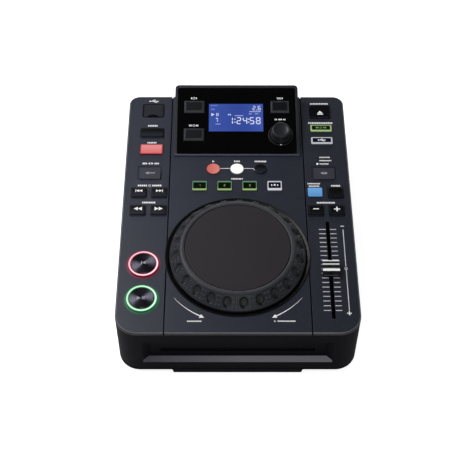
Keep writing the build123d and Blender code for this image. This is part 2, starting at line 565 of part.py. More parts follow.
# ================================================================ case shell
with BuildPart() as case_shell:
    extrude(case_outline(TRAY_TOP), amount=DECK_UNDER - TRAY_TOP)
    extrude(case_outline(TRAY_TOP, WALL), amount=DECK_UNDER - TRAY_TOP, mode=Mode.SUBTRACT)
    fillet(case_shell.faces().sort_by(Axis.Z)[0].outer_wire().edges(), CASE_EDGE_R)
    # Thicker front wall behind the recess, so that the recess keeps its wall.
    recess_back_y = CASE_FRONT_Y + RECESS_DEEP
    block(
        0,
        recess_back_y + WALL / 2 - RECESS_DEEP / 2,
        FOOT_H + RECESS_LIP_H - WALL,
        FOOT_H + RECESS_TOP_H + WALL,
        RECESS_W + 2 * RECESS_FLARE,
        RECESS_DEEP + WALL,
    )
    # Recess round the slot: its sill slopes out, and its ends flare.
    with BuildSketch(Plane.XZ.offset(-CASE_FRONT_Y)):
        with BuildLine():
            Polyline(
                (-RECESS_W / 2 - RECESS_FLARE, FOOT_H + RECESS_LIP_H),
                (RECESS_W / 2 + RECESS_FLARE, FOOT_H + RECESS_LIP_H),
                (RECESS_W / 2 + RECESS_FLARE, FOOT_H + RECESS_TOP_H),
                (-RECESS_W / 2 - RECESS_FLARE, FOOT_H + RECESS_TOP_H),
                close=True,
            )
        make_face()
    with BuildSketch(Plane.XZ.offset(-recess_back_y)):
        with BuildLine():
            Polyline(
                (-RECESS_W / 2, FOOT_H + RECESS_SILL_H),
                (RECESS_W / 2, FOOT_H + RECESS_SILL_H),
                (RECESS_W / 2, FOOT_H + RECESS_TOP_H),
                (-RECESS_W / 2, FOOT_H + RECESS_TOP_H),
                close=True,
            )
        make_face()
    loft(mode=Mode.SUBTRACT)
    with BuildSketch(Plane.XZ.offset(-recess_back_y)):
        with Locations((0, SLOT_Z)):
            Rectangle(SLOT_W, SLOT_H)
    extrude(amount=-(WALL + 1), mode=Mode.SUBTRACT)
    # Rails under the seams, and ledges for the key boards.
    for side in (-1, 1):
        block(side * RAIL_X, 0, BOARD_TOP, DECK_UNDER, RAIL_W, CASE_D - 2 * WALL)
        ledge_x = side * (CASE_W / 2 - WALL - BOARD_LEDGE / 2)
        ledge_y = (BOARD_LOW_Y + BOARD_HIGH_Y) / 2
        block(ledge_x, ledge_y, BOARD_UNDER - WALL, BOARD_UNDER, BOARD_LEDGE, BOARD_HIGH_Y - BOARD_LOW_Y)
    block(0, CASE_BACK_Y - WALL - BOARD_LEDGE / 2, BOARD_UNDER - WALL, BOARD_UNDER, 120, BOARD_LEDGE)
    post(0, JOG_Y, BOARD_TOP, DECK_UNDER, CUP_R + FIT, mode=Mode.SUBTRACT)
    for screw_x, screw_y in SCREWS:
        post(screw_x, screw_y, TRAY_TOP, TRAY_TOP + SCREW_POST_H, SCREW_POST_R)
        post(screw_x, screw_y, TRAY_TOP, TRAY_TOP + SCREW_POST_H - WALL, SCREW_PILOT_R, mode=Mode.SUBTRACT)
    # A web ties each screw post to the side wall.
    web_low = CASE_W / 2 - SCREW_INSET_X + SCREW_PILOT_R + FIT
    web_high = CASE_W / 2 - WALL / 2
    for side in (-1, 1):
        for screw_y in SCREW_YS:
            web_x = side * (web_low + web_high) / 2
            block(web_x, screw_y, TRAY_TOP, TRAY_TOP + SCREW_POST_H, web_high - web_low, WALL)
    # Niche for the sockets in the back wall.
    niche_mid_x = (NICHE_X[0] + NICHE_X[1]) / 2
    niche_w = NICHE_X[1] - NICHE_X[0]
    niche_back_y = CASE_BACK_Y - NICHE_DEEP - WALL
    block(
        niche_mid_x,
        (niche_back_y + CASE_BACK_Y) / 2,
        NICHE_Z[0] - WALL,
        NICHE_Z[1] + WALL,
        niche_w + 2 * WALL,
        NICHE_DEEP + WALL,
    )
    block(
        niche_mid_x,
        CASE_BACK_Y - NICHE_DEEP / 2,
        NICHE_Z[0],
        NICHE_Z[1],
        niche_w,
        NICHE_DEEP,
        mode=Mode.SUBTRACT,
    )
    with BuildSketch(Plane.XZ.offset(-(niche_back_y - 1))):
        for jack_x in JACKS_X:
            with Locations((jack_x, JACK_Z)):
                Circle(JACK_R + JACK_GAP)
        with Locations((REMOTE_X, JACK_Z)):
            Circle(REMOTE_R + JACK_GAP)
        with Locations((DATA_X, JACK_Z)):
            Rectangle(DATA_BLOCK[0] + 2 * JACK_GAP, DATA_BLOCK[1] + 2 * JACK_GAP)
    extrude(amount=-(WALL + 2), mode=Mode.SUBTRACT)
    with BuildSketch(Plane.XZ.offset(-CASE_BACK_Y)):
        with Locations((INLET_X, INLET_Z)):
            Rectangle(INLET_BODY[0], INLET_BODY[1])
        with Locations((POWER_X, INLET_Z)):
            Rectangle(ROCKER_W + 2 * POWER_WALL + 2 * FIT, 2 * ROCKER_R + 2 * POWER_WALL + 2 * FIT)
    extrude(amount=WALL, mode=Mode.SUBTRACT)
case_shell.part.label = "case_shell"
export_step(case_shell.part, "parts/case_shell.step")


# ================================================================ deck plates
def deck_strip(x_low, x_high):
    """Make one strip of the deck between two x places."""
    extrude(case_outline(DECK_UNDER), amount=DECK_T)
    chamfer(faces().sort_by(Axis.Z)[-1].edges(), EDGE_BEVEL)
    block((x_low + x_high) / 2, 0, DECK_UNDER, DECK_TOP, x_high - x_low, CASE_D, mode=Mode.INTERSECT)


def key_holes(keys):
    """Cut the holes of rectangular keys, and their sunk frames, in a deck plate."""
    for name, (x, y, width, depth) in keys.items():
        if name in SINK_FRAMES:
            frame_x, frame_y, frame_w, frame_d = SINK_FRAMES[name]
            block(frame_x, frame_y, DECK_TOP - KEY_FRAME_DEEP, DECK_TOP, frame_w, frame_d, mode=Mode.SUBTRACT)
        with BuildSketch(Plane.XY.offset(DECK_UNDER)) as hole:
            with Locations((x, y)):
                RectangleRounded(width + 2 * FIT, depth + 2 * FIT, KEY_CORNER + FIT)
        extrude(hole.sketch, amount=DECK_T, mode=Mode.SUBTRACT)


with BuildPart() as deck_left:
    deck_strip(-CASE_W / 2, -SEAM_X - SEAM_GAP / 2)
    key_holes(LEFT_KEYS)
    for round_y in ROUND_KEYS.values():
        post(ROUND_X, round_y, DECK_UNDER, DECK_TOP, RING_R, mode=Mode.SUBTRACT)
    block(LEFT_X, USB_Y, DECK_UNDER, DECK_TOP, USB_W, USB_D, mode=Mode.SUBTRACT)
deck_left.part.label = "deck_left"
export_step(deck_left.part, "parts/deck_left.step")

with BuildPart() as deck_right:
    deck_strip(SEAM_X + SEAM_GAP / 2, CASE_W / 2)
    key_holes(RIGHT_KEYS)
    block(RIGHT_X, FADER_MID_Y, DECK_UNDER, DECK_TOP, FADER_SLOT_W, FADER_SLOT, mode=Mode.SUBTRACT)
deck_right.part.label = "deck_right"
export_step(deck_right.part, "parts/deck_right.step")

with BuildPart() as deck_centre:
    deck_strip(-SEAM_X + SEAM_GAP / 2, SEAM_X - SEAM_GAP / 2)
    post(0, JOG_Y, DECK_UNDER, DECK_TOP, CUP_R, mode=Mode.SUBTRACT)
    key_holes(BANK_KEYS)
    for loop_x, loop_y, loop_r in LOOP_KEYS.values():
        post(loop_x, loop_y, DECK_UNDER, DECK_TOP, loop_r + FIT, mode=Mode.SUBTRACT)
    block(0, HOOD_OPENING_Y, DECK_UNDER, DECK_TOP, *HOOD_OPENING, mode=Mode.SUBTRACT)
deck_centre.part.label = "deck_centre"
export_step(deck_centre.part, "parts/deck_centre.step")

# ================================================================ keys in the deck
for key_name, (key_x, key_y, key_w, key_d) in {**LEFT_KEYS, **RIGHT_KEYS, **BANK_KEYS}.items():
    with BuildPart() as key:
        lip_top = DECK_UNDER - FIT
        with BuildSketch(Plane.XY.offset(lip_top)):
            with Locations((key_x, key_y)):
                RectangleRounded(key_w, key_d, KEY_CORNER)
        extrude(amount=DECK_TOP + KEY_RISE - lip_top)
        chamfer(key.faces().sort_by(Axis.Z)[-1].edges(), KEY_BEVEL)
        block(key_x, key_y, lip_top - KEY_LIP_T, lip_top, key_w, key_d + 2 * KEY_LIP)
        post(key_x, key_y, KEY_FOOT, lip_top - KEY_LIP_T, KEY_STEM_R)
    key.part.label = key_name
    export_step(key.part, f"parts/{key_name}.step")

for key_name, (key_x, key_y, key_r) in LOOP_KEYS.items():
    with BuildPart() as key:
        lip_top = DECK_UNDER - FIT
        post(key_x, key_y, lip_top, DECK_TOP + KEY_RISE, key_r)
        chamfer(key.faces().sort_by(Axis.Z)[-1].edges(), KEY_BEVEL)
        post(key_x, key_y, lip_top - KEY_LIP_T, lip_top, key_r + KEY_LIP)
        post(key_x, key_y, KEY_FOOT, lip_top - KEY_LIP_T, KEY_STEM_R)
    key.part.label = key_name
    export_step(key.part, f"parts/{key_name}.step")

for key_name, key_y in ROUND_KEYS.items():
    with BuildPart() as key:
        lip_top = DECK_UNDER - RING_FLANGE_T - FIT
        post(ROUND_X, key_y, lip_top, DECK_TOP + ROUND_KEY_RISE, ROUND_KEY_R)
        chamfer(key.faces().sort_by(Axis.Z)[-1].edges(), KEY_BEVEL)
        post(ROUND_X, key_y, KEY_FOOT, lip_top, ROUND_KEY_R + KEY_LIP)
    key.part.label = key_name
    export_step(key.part, f"parts/{key_name}.step")

with BuildPart() as light_rings:
    for ring_y in ROUND_KEYS.values():
        ring_low = DECK_UNDER - RING_FLANGE_T
        ring_top = DECK_TOP + RING_RISE
        post(ROUND_X, ring_y, ring_low, DECK_UNDER, RING_R + RING_FLANGE)
        post(ROUND_X, ring_y, DECK_UNDER, ring_top, RING_R)
        post(ROUND_X, ring_y, ring_low, ring_top, ROUND_KEY_R + FIT, mode=Mode.SUBTRACT)
light_rings.part.label = "light_rings"
export_step(light_rings.part, "parts/light_rings.step")

# ================================================================ USB cover
with BuildPart() as usb_cover:
    block(LEFT_X, USB_Y, DECK_TOP - USB_COVER_T, DECK_TOP, USB_W - 2 * FIT, USB_D - 2 * FIT)
    notch_y = USB_Y - USB_D / 2 + FIT + USB_NOTCH_DEEP - USB_NOTCH_R
    post(LEFT_X, notch_y, DECK_TOP - USB_COVER_T, DECK_TOP, USB_NOTCH_R, mode=Mode.SUBTRACT)
usb_cover.part.label = "usb_cover"
export_step(usb_cover.part, "parts/usb_cover.step")

# ================================================================ pitch fader
with BuildPart() as pitch_fader:
    fader_w, fader_d, fader_h = FADER_HOUSING
    inner_w = fader_w - 2 * FADER_SHEET
    inner_d = fader_d - 2 * FADER_SHEET
    block(RIGHT_X, FADER_MID_Y, DECK_UNDER - fader_h, DECK_UNDER, fader_w, fader_d)
    block(
        RIGHT_X,
        FADER_MID_Y,
        DECK_UNDER - fader_h + FADER_SHEET,
        DECK_UNDER - FADER_SHEET,
        inner_w,
        inner_d,
        mode=Mode.SUBTRACT,
    )
    block(
        RIGHT_X,
        FADER_MID_Y,
        DECK_UNDER - FADER_SHEET,
        DECK_UNDER,
        FADER_SLOT_W,
        FADER_SLOT,
        mode=Mode.SUBTRACT,
    )
pitch_fader.part.label = "pitch_fader"
export_step(pitch_fader.part, "parts/pitch_fader.step")

with BuildPart() as fader_cap:
    cap_y = FADER_MID_Y + FADER_REST
    cap_low = DECK_TOP + FADER_CAP_LIFT
    cap_top = DECK_TOP + FADER_CAP_H
    with BuildSketch(Plane.YZ.offset(RIGHT_X)):
        with BuildLine():
            Polyline(
                (cap_y - FADER_CAP_D / 2, cap_low),
                (cap_y + FADER_CAP_D / 2, cap_low),
                (cap_y + FADER_CAP_D * 0.42, cap_top),
                (cap_y + FADER_CAP_D * 0.28, cap_top),
                (cap_y, cap_top - 1.6),
                (cap_y - FADER_CAP_D * 0.28, cap_top),
                (cap_y - FADER_CAP_D * 0.42, cap_top),
                close=True,
            )
        make_face()
    extrude(amount=FADER_CAP_W / 2, both=True)
    slider_low = DECK_UNDER - FADER_HOUSING[2] + FADER_SHEET + FIT
    block(RIGHT_X, cap_y, slider_low, cap_low, *FADER_BLADE)
    block(RIGHT_X, cap_y, slider_low, slider_low + FADER_SLIDER[2], FADER_SLIDER[0], FADER_SLIDER[1])
fader_cap.part.label = "fader_cap"
export_step(fader_cap.part, "parts/fader_cap.step")

# ================================================================ jog wheel
with BuildPart() as jog_bezel:
    post(0, JOG_Y, CUP_UNDER, DECK_TOP, CUP_R)
    post(0, JOG_Y, DECK_TOP, DECK_TOP + BEZEL_T, BEZEL_R)
    post(0, JOG_Y, CUP_FLOOR, DECK_TOP + BEZEL_T, CUP_R - CUP_WALL, mode=Mode.SUBTRACT)
    post(0, JOG_Y, CUP_UNDER, CUP_FLOOR, CUP_HOLE_R, mode=Mode.SUBTRACT)
jog_bezel.part.label = "jog_bezel"
export_step(jog_bezel.part, "parts/jog_bezel.step")

with BuildPart() as jog_bearing:
    post(0, JOG_Y, CUP_UNDER - JOG_BASE_T, CUP_UNDER, JOG_BASE_R)
    post(0, JOG_Y, CUP_UNDER, WEB_UNDER - FIT, JOG_PIN_R)
jog_bearing.part.label = "jog_bearing"
export_step(jog_bearing.part, "parts/jog_bearing.step")

rim_z = DECK_TOP + RIM_H
edge_z = DECK_TOP + WHEEL_EDGE_H
skirt_z = DECK_TOP - SKIRT_DROP
skirt_r = CUP_R - CUP_WALL - SKIRT_GAP
cone_rise = RIM_H - WHEEL_EDGE_H
cone_length = sqrt(CONE_RUN**2 + cone_rise**2)
with BuildPart() as jog_wheel:
    with BuildSketch(Plane.XZ.offset(-JOG_Y)):
        with BuildLine():
            Polyline(
                (skirt_r, skirt_z),
                (skirt_r, DECK_TOP + WHEEL_LIFT),
                (WHEEL_R, DECK_TOP + WHEEL_LIFT),
                (WHEEL_R, edge_z),
                (RIM_R, rim_z),
                (PLATE_R + PLATE_GAP, rim_z),
                (PLATE_R + PLATE_GAP, WEB_TOP),
                (0, WEB_TOP),
                (0, WEB_UNDER),
                (JOG_PIN_R + RUN_FIT, WEB_UNDER),
                (JOG_PIN_R + RUN_FIT, CUP_UNDER + FIT),
                (JOG_HUB_R, CUP_UNDER + FIT),
                (JOG_HUB_R, WEB_UNDER),
                (ENCODER_R, WEB_UNDER),
                (ENCODER_R, skirt_z),
                (ENCODER_R + ENCODER_T, skirt_z),
                (ENCODER_R + ENCODER_T, WEB_UNDER),
                (RIM_R - WHEEL_WALL / 2, WEB_UNDER),
                (skirt_r - WHEEL_WALL / 2, edge_z),
                (skirt_r - WHEEL_WALL / 2, skirt_z),
                close=True,
            )
        make_face()
    revolve(axis=Axis((0, JOG_Y, 0), (0, 0, 1)))
    ball_out = DIMPLE_BALL_R - DIMPLE_DEEP
    ball_r = (WHEEL_R + RIM_R) / 2 + ball_out * cone_rise / cone_length
    ball_h = (WHEEL_EDGE_H + RIM_H) / 2 + ball_out * CONE_RUN / cone_length
    with Locations(JOG_FACE.offset(ball_h)):
        with PolarLocations(ball_r, DIMPLES, start_angle=DIMPLE_PHASE):
            Sphere(DIMPLE_BALL_R, mode=Mode.SUBTRACT)
    with Locations(JOG_FACE.offset(-SKIRT_DROP + ENCODER_SLOT_H / 2)):
        with PolarLocations(ENCODER_R + ENCODER_T / 2, ENCODER_SLOTS):
            Box(3 * ENCODER_T, ENCODER_SLOT_W, ENCODER_SLOT_H, mode=Mode.SUBTRACT)
jog_wheel.part.label = "jog_wheel"
export_step(jog_wheel.part, "parts/jog_wheel.step")

with BuildPart() as jog_plate:
    post(0, JOG_Y, WEB_TOP, rim_z, PLATE_R)
    chamfer(jog_plate.faces().sort_by(Axis.Z)[-1].edges(), KEY_BEVEL)
jog_plate.part.label = "jog_plate"
export_step(jog_plate.part, "parts/jog_plate.step")

# ================================================================ display hood
top_wall = FASCIA_T + HOOD_WALL
with BuildPart() as display_hood:
    with BuildSketch(Plane.YZ):
        with BuildLine():
            Polyline(
                (HOOD_FRONT_Y, DECK_TOP),
                (HOOD_BACK_Y, DECK_TOP),
                (HOOD_BACK_Y, DECK_TOP + HOOD_RISE),
                (HOOD_FRONT_Y, DECK_TOP + HOOD_LIP),
                close=True,
            )
        make_face()
    extrude(amount=HOOD_W / 2, both=True)
    fillet(display_hood.edges().filter_by(Axis.Z).group_by(Axis.Y)[-1], HOOD_CORNER_R)
    cavity_drop = top_wall / cos(HOOD_TILT)
    cavity_front_y = HOOD_FRONT_Y + (cavity_drop - HOOD_LIP) / tan(HOOD_TILT)
    cavity_back_y = HOOD_BACK_Y - HOOD_WALL
    cavity_rise = (cavity_back_y - cavity_front_y) * tan(HOOD_TILT)
    with BuildSketch(Plane.YZ):
        with BuildLine():
            Polyline(
                (cavity_front_y, DECK_TOP),
                (cavity_back_y, DECK_TOP),
                (cavity_back_y, DECK_TOP + cavity_rise),
                close=True,
            )
        make_face()
    extrude(amount=HOOD_W / 2 - HOOD_WALL, both=True, mode=Mode.SUBTRACT)
    for boss_x, boss_s in HOOD_BOSSES:
        slope_post(boss_x, boss_s, -DISPLAY_BOARD_DROP, -top_wall, HOOD_BOSS_R)
    slope_block(
        0,
        (FASCIA_LOW + FASCIA_HIGH) / 2,
        -FASCIA_T,
        1,
        FASCIA_W,
        FASCIA_HIGH - FASCIA_LOW,
        FASCIA_CORNER_R,
        mode=Mode.SUBTRACT,
    )
    for key_x, key_s, key_w, key_d in HOOD_KEYS.values():
        slope_block(key_x, key_s, -top_wall - 1, 0, key_w + 2 * FIT, key_d + 2 * FIT, mode=Mode.SUBTRACT)
    slope_block(LCD_X, LCD_S, -top_wall - 1, 0, LCD_W + 2 * LCD_GAP, LCD_D + 2 * LCD_GAP, mode=Mode.SUBTRACT)
    slope_post(KNOB_X, KNOB_S, -top_wall - 1, 0, SHAFT_HOLE_R, mode=Mode.SUBTRACT)
display_hood.part.label = "display_hood"
export_step(display_hood.part, "parts/display_hood.step")

with BuildPart() as display_fascia:
    slope_block(
        0,
        (FASCIA_LOW + FASCIA_HIGH) / 2,
        -FASCIA_T,
        0,
        FASCIA_W,
        FASCIA_HIGH - FASCIA_LOW,
        FASCIA_CORNER_R,
    )
    slope_post(KNOB_X, KNOB_S, 0, COLLAR_H, COLLAR_R)
    slope_post(KNOB_X, KNOB_S, 0, COLLAR_H, KNOB_R + COLLAR_GAP, mode=Mode.SUBTRACT)
    slope_post(KNOB_X, KNOB_S, -FASCIA_T, 0, SHAFT_HOLE_R, mode=Mode.SUBTRACT)
    for key_x, key_s, key_w, key_d in HOOD_KEYS.values():
        slope_block(key_x, key_s, -FASCIA_T, 0, key_w + 2 * FIT, key_d + 2 * FIT, mode=Mode.SUBTRACT)
    slope_block(LCD_X, LCD_S, -FASCIA_T, 0, LCD_W + 2 * LCD_GAP, LCD_D + 2 * LCD_GAP, mode=Mode.SUBTRACT)
display_fascia.part.label = "display_fascia"
export_step(display_fascia.part, "parts/display_fascia.step")

with BuildPart() as lcd_module:
    slope_block(LCD_X, LCD_S, -DISPLAY_BOARD_DROP, -LCD_SINK, LCD_W, LCD_D)
lcd_module.part.label = "lcd_module"
export_step(lcd_module.part, "parts/lcd_module.step")

hood_key_foot = -DISPLAY_BOARD_DROP + SWITCH_H + KEY_TRAVEL + FIT
for key_name, (key_x, key_s, key_w, key_d) in HOOD_KEYS.items():
    with BuildPart() as key:
        lip_top = -top_wall - FIT
        slope_block(key_x, key_s, lip_top, HOOD_KEY_RISE, key_w, key_d)
        chamfer(key.faces().sort_by(HOOD_OUT)[-1].edges(), HOOD_KEY_BEVEL)
        slope_block(key_x, key_s, hood_key_foot, lip_top, key_w + 2 * KEY_LIP, key_d + 2 * KEY_LIP)
    key.part.label = key_name
    export_step(key.part, f"parts/{key_name}.step")

with BuildPart() as select_shaft:
    slope_post(KNOB_X, KNOB_S, SHAFT_FOOT, KNOB_LIFT + KNOB_H - KNOB_CAP_T - FIT, SHAFT_R)
select_shaft.part.label = "select_shaft"
export_step(select_shaft.part, "parts/select_shaft.step")

with BuildPart() as select_knob:
    with BuildSketch(HOOD_FACE.offset(KNOB_LIFT)):
        with Locations((KNOB_X, KNOB_S)):
            Circle(KNOB_R)
    with BuildSketch(HOOD_FACE.offset(KNOB_LIFT + KNOB_H)):
        with Locations((KNOB_X, KNOB_S)):
            Circle(KNOB_TOP_R)
    loft()
    chamfer(select_knob.faces().sort_by(HOOD_OUT)[-1].edges(), KEY_BEVEL)
    bore_top = KNOB_LIFT + KNOB_H - KNOB_CAP_T
    slope_post(KNOB_X, KNOB_S, KNOB_LIFT, bore_top, SHAFT_R + RUN_FIT, mode=Mode.SUBTRACT)
select_knob.part.label = "select_knob"
export_step(select_knob.part, "parts/select_knob.step")


# ================================================================ key boards
def board_with_switches(x_low, x_high, y_low, y_high, keys):
    """Make one key board with a switch under each listed key."""
    block(
        (x_low + x_high) / 2,
        (y_low + y_high) / 2,
        BOARD_UNDER,
        BOARD_TOP,
        x_high - x_low,
        y_high - y_low,
    )
    for x, y in keys:
        block(x, y, BOARD_TOP, BOARD_TOP + SWITCH_H, SWITCH_SIZE, SWITCH_SIZE)


board_outer_x = CASE_W / 2 - WALL - BOARD_LEDGE / 2
board_split_x = RAIL_X
board_back_y = CASE_BACK_Y - WALL - FIT
with BuildPart() as switch_boards:
    left_spots = [(x, y) for x, y, *_ in LEFT_KEYS.values()]
    left_spots += [(ROUND_X, y) for y in ROUND_KEYS.values()]
    board_with_switches(-board_outer_x, -board_split_x - FIT, BOARD_LOW_Y, BOARD_HIGH_Y, left_spots)
    socket_w, socket_d, socket_h = USB_SOCKET
    socket_top = DECK_TOP - USB_COVER_T - FIT
    socket_low = socket_top - socket_h
    block(LEFT_X, USB_Y, socket_low, socket_top, socket_w, socket_d)
    mouth_w, mouth_d, mouth_h = USB_MOUTH
    block(LEFT_X, USB_Y, socket_top - mouth_h, socket_top, mouth_w, mouth_d, mode=Mode.SUBTRACT)
    block(LEFT_X, USB_Y, socket_low, socket_top - 1, *USB_TONGUE)
    right_spots = [(x, y) for x, y, *_ in RIGHT_KEYS.values()]
    right_low_y = SEARCH_Y - BOARD_SPARE
    board_with_switches(board_split_x + FIT, board_outer_x, right_low_y, BOARD_HIGH_Y, right_spots)
    centre_spots = [(x, y) for x, y, *_ in BANK_KEYS.values()]
    centre_spots += [(x, y) for x, y, _ in LOOP_KEYS.values()]
    centre_low_y = BANK_Y - BANK_BOARD_SPARE
    board_with_switches(-board_split_x + FIT, board_split_x - FIT, centre_low_y, board_back_y, centre_spots)
    slope_block(0, DISPLAY_BOARD_S, -DISPLAY_BOARD_DROP - BOARD_T, -DISPLAY_BOARD_DROP, *DISPLAY_BOARD)
    for key_x, key_s, _, _ in HOOD_KEYS.values():
        slope_block(
            key_x,
            key_s,
            -DISPLAY_BOARD_DROP,
            -DISPLAY_BOARD_DROP + SWITCH_H,
            SWITCH_SIZE,
            SWITCH_SIZE,
        )
    encoder_w, encoder_d, encoder_h = ENCODER_BODY
    encoder_low = -DISPLAY_BOARD_DROP
    encoder_top = encoder_low + encoder_h
    slope_block(KNOB_X, KNOB_S, encoder_low, encoder_top, encoder_w, encoder_d)
    slope_post(KNOB_X, KNOB_S, encoder_low, encoder_top, SHAFT_R + RUN_FIT, mode=Mode.SUBTRACT)
    sensor_y = JOG_Y + ENCODER_R - JOG_SENSOR[1] / 2 - 1
    block(0, sensor_y, CUP_FLOOR, CUP_FLOOR + JOG_SENSOR[2], JOG_SENSOR[0], JOG_SENSOR[1])
switch_boards.part.label = "switch_boards"
export_step(switch_boards.part, "parts/switch_boards.step")

# ================================================================ slot-in drive
drive_mid_y = (DRIVE_BACK_Y + DRIVE_FRONT_Y) / 2
roller_z = DISC_UNDER - FIT - ROLLER_R
with BuildPart() as drive_chassis:
    block(0, drive_mid_y, DRIVE_FLOOR_Z, DRIVE_WALL_TOP, 2 * DRIVE_HALF_W, DRIVE_D)
    block(
        0,
        drive_mid_y,
        DRIVE_FLOOR_Z + DRIVE_SHEET,
        DRIVE_WALL_TOP,
        2 * (DRIVE_HALF_W - DRIVE_SHEET),
        DRIVE_D,
        mode=Mode.SUBTRACT,
    )
    with BuildSketch(Plane.YZ.offset(-DRIVE_HALF_W)):
        with Locations((ROLLER_Y, roller_z)):
            Circle(ROLLER_AXLE_R + RUN_FIT)
    extrude(amount=2 * DRIVE_HALF_W, mode=Mode.SUBTRACT)
    # Lugs that hold the ends of the sled's two guide rods.
    rod_low_y = SPINDLE_Y + SPINDLE_MOTOR_R
    rod_high_y = SPINDLE_Y + SLED_START + SLED_TRAVEL + SLED_D / 2 + ROD_SPARE
    for rod_x in (-ROD_X, ROD_X):
        for lug_y in (rod_low_y, rod_high_y):
            block(rod_x, lug_y, DRIVE_FLOOR_Z, ROD_Z + 2 * ROD_R, 4 * ROD_R, DRIVE_SHEET)
        with BuildSketch(Plane.XZ.offset(-rod_low_y)):
            with Locations((rod_x, ROD_Z)):
                Circle(ROD_R)
        extrude(amount=-(rod_high_y - rod_low_y))
drive_chassis.part.label = "drive_chassis"
export_step(drive_chassis.part, "parts/drive_chassis.step")

with BuildPart() as drive_dampers:
    for side in (-1, 1):
        damper_x = side * (DRIVE_HALF_W - DAMPER_INSET_X)
        for damper_y in (DRIVE_FRONT_Y + DAMPER_INSET_Y, DRIVE_BACK_Y - DAMPER_INSET_Y):
            post(damper_x, damper_y, TRAY_TOP, DRIVE_FLOOR_Z, DAMPER_R)
drive_dampers.part.label = "drive_dampers"
export_step(drive_dampers.part, "parts/drive_dampers.step")

with BuildPart() as drive_cover:
    block(0, drive_mid_y, DRIVE_WALL_TOP, DRIVE_WALL_TOP + DRIVE_COVER_T, 2 * DRIVE_HALF_W, DRIVE_D)
    post(0, SPINDLE_Y, DRIVE_WALL_TOP, DRIVE_WALL_TOP + DRIVE_COVER_T, CLAMPER_HOLE_R, mode=Mode.SUBTRACT)
drive_cover.part.label = "drive_cover"
export_step(drive_cover.part, "parts/drive_cover.step")

with BuildPart() as drive_motors:
    post(0, SPINDLE_Y, DRIVE_FLOOR_TOP, SPINDLE_TOP, SPINDLE_MOTOR_R)
    post(0, SPINDLE_Y, DRIVE_FLOOR_TOP, SPINDLE_TOP, SPINDLE_PIN_R + RUN_FIT, mode=Mode.SUBTRACT)
    motor_x = -DRIVE_HALF_W + DRIVE_SHEET + LOADING_MOTOR_L / 2 + 2 * FIT
    with BuildSketch(Plane.YZ.offset(motor_x - LOADING_MOTOR_L / 2)):
        with Locations((ROLLER_Y + ROLLER_R + LOADING_MOTOR_R + 4, DRIVE_FLOOR_TOP + LOADING_MOTOR_R)):
            Circle(LOADING_MOTOR_R)
    extrude(amount=LOADING_MOTOR_L)
    block(SLED_W / 2 + 12, SPINDLE_Y + SLED_START, DRIVE_FLOOR_TOP, DRIVE_FLOOR_TOP + 12, 14, 26)
drive_motors.part.label = "drive_motors"
export_step(drive_motors.part, "parts/drive_motors.step")

with BuildPart() as spindle_hub:
    table_low = DISC_UNDER - TURNTABLE_T
    post(0, SPINDLE_Y, DRIVE_FLOOR_TOP + FIT, SPINDLE_TOP, SPINDLE_PIN_R)
    post(0, SPINDLE_Y, SPINDLE_TOP + FIT, table_low, SPINDLE_MOTOR_R - 1)
    post(0, SPINDLE_Y, SPINDLE_TOP - FIT, SPINDLE_TOP + 2 * FIT, SPINDLE_PIN_R)
    post(0, SPINDLE_Y, table_low, DISC_UNDER, TURNTABLE_R)
    with BuildSketch(Plane.XY.offset(DISC_UNDER)):
        with Locations((0, SPINDLE_Y)):
            Circle(DISC_HOLE_R - RUN_FIT)
    extrude(amount=HUB_CONE_H, taper=20)
spindle_hub.part.label = "spindle_hub"
export_step(spindle_hub.part, "parts/spindle_hub.step")

with BuildPart() as disc_clamper:
    cover_top = DRIVE_WALL_TOP + DRIVE_COVER_T
    post(0, SPINDLE_Y, DISC_UNDER + HUB_CONE_H + FIT, cover_top + FIT, CLAMPER_R)
    post(0, SPINDLE_Y, cover_top + FIT, cover_top + FIT + CLAMPER_T, CLAMPER_FLANGE_R)
disc_clamper.part.label = "disc_clamper"
export_step(disc_clamper.part, "parts/disc_clamper.step")

with BuildPart() as pickup_sled:
    sled_y = SPINDLE_Y + SLED_START
    block(0, sled_y, SLED_Z, SLED_Z + SLED_H, SLED_W, SLED_D)
    post(0, sled_y, SLED_Z + SLED_H, SLED_Z + SLED_H + LENS_H, LENS_R)
    for rod_x in (-ROD_X, ROD_X):
        with BuildSketch(Plane.XZ.offset(-(sled_y - SLED_D / 2))):
            with Locations((rod_x, ROD_Z)):
                Circle(ROD_R + RUN_FIT)
        extrude(amount=-SLED_D, mode=Mode.SUBTRACT)
pickup_sled.part.label = "pickup_sled"
export_step(pickup_sled.part, "parts/pickup_sled.step")

with BuildPart() as loading_roller:
    with BuildSketch(Plane.YZ.offset(-DRIVE_HALF_W - 1)):
        with Locations((ROLLER_Y, roller_z)):
            Circle(ROLLER_AXLE_R)
    extrude(amount=2 * DRIVE_HALF_W + 2)
    with BuildSketch(Plane.YZ.offset(-ROLLER_HALF_L)):
        with Locations((ROLLER_Y, roller_z)):
            Circle(ROLLER_R)
    extrude(amount=2 * ROLLER_HALF_L)
    with BuildSketch(Plane.YZ.offset(ROLLER_HALF_L + FIT)):
        with Locations((ROLLER_Y, roller_z)):
            Circle(ROLLER_GEAR_R)
    extrude(amount=ROLLER_GEAR_T)
loading_roller.part.label = "loading_roller"
export_step(loading_roller.part, "parts/loading_roller.step")

# ================================================================ boards on the tray
board_low = TRAY_TOP + POST_H
board_high = board_low + BOARD_T
with BuildPart() as main_board:
    block(*MAIN_BOARD_AT, board_low, board_high, *MAIN_BOARD)
    for chip_x, chip_y, chip_w, chip_d, chip_h in MAIN_CHIPS:
        block(
            MAIN_BOARD_AT[0] + chip_x,
            MAIN_BOARD_AT[1] + chip_y,
            board_high,
            board_high + chip_h,
            chip_w,
            chip_d,
        )
main_board.part.label = "main_board"
export_step(main_board.part, "parts/main_board.step")

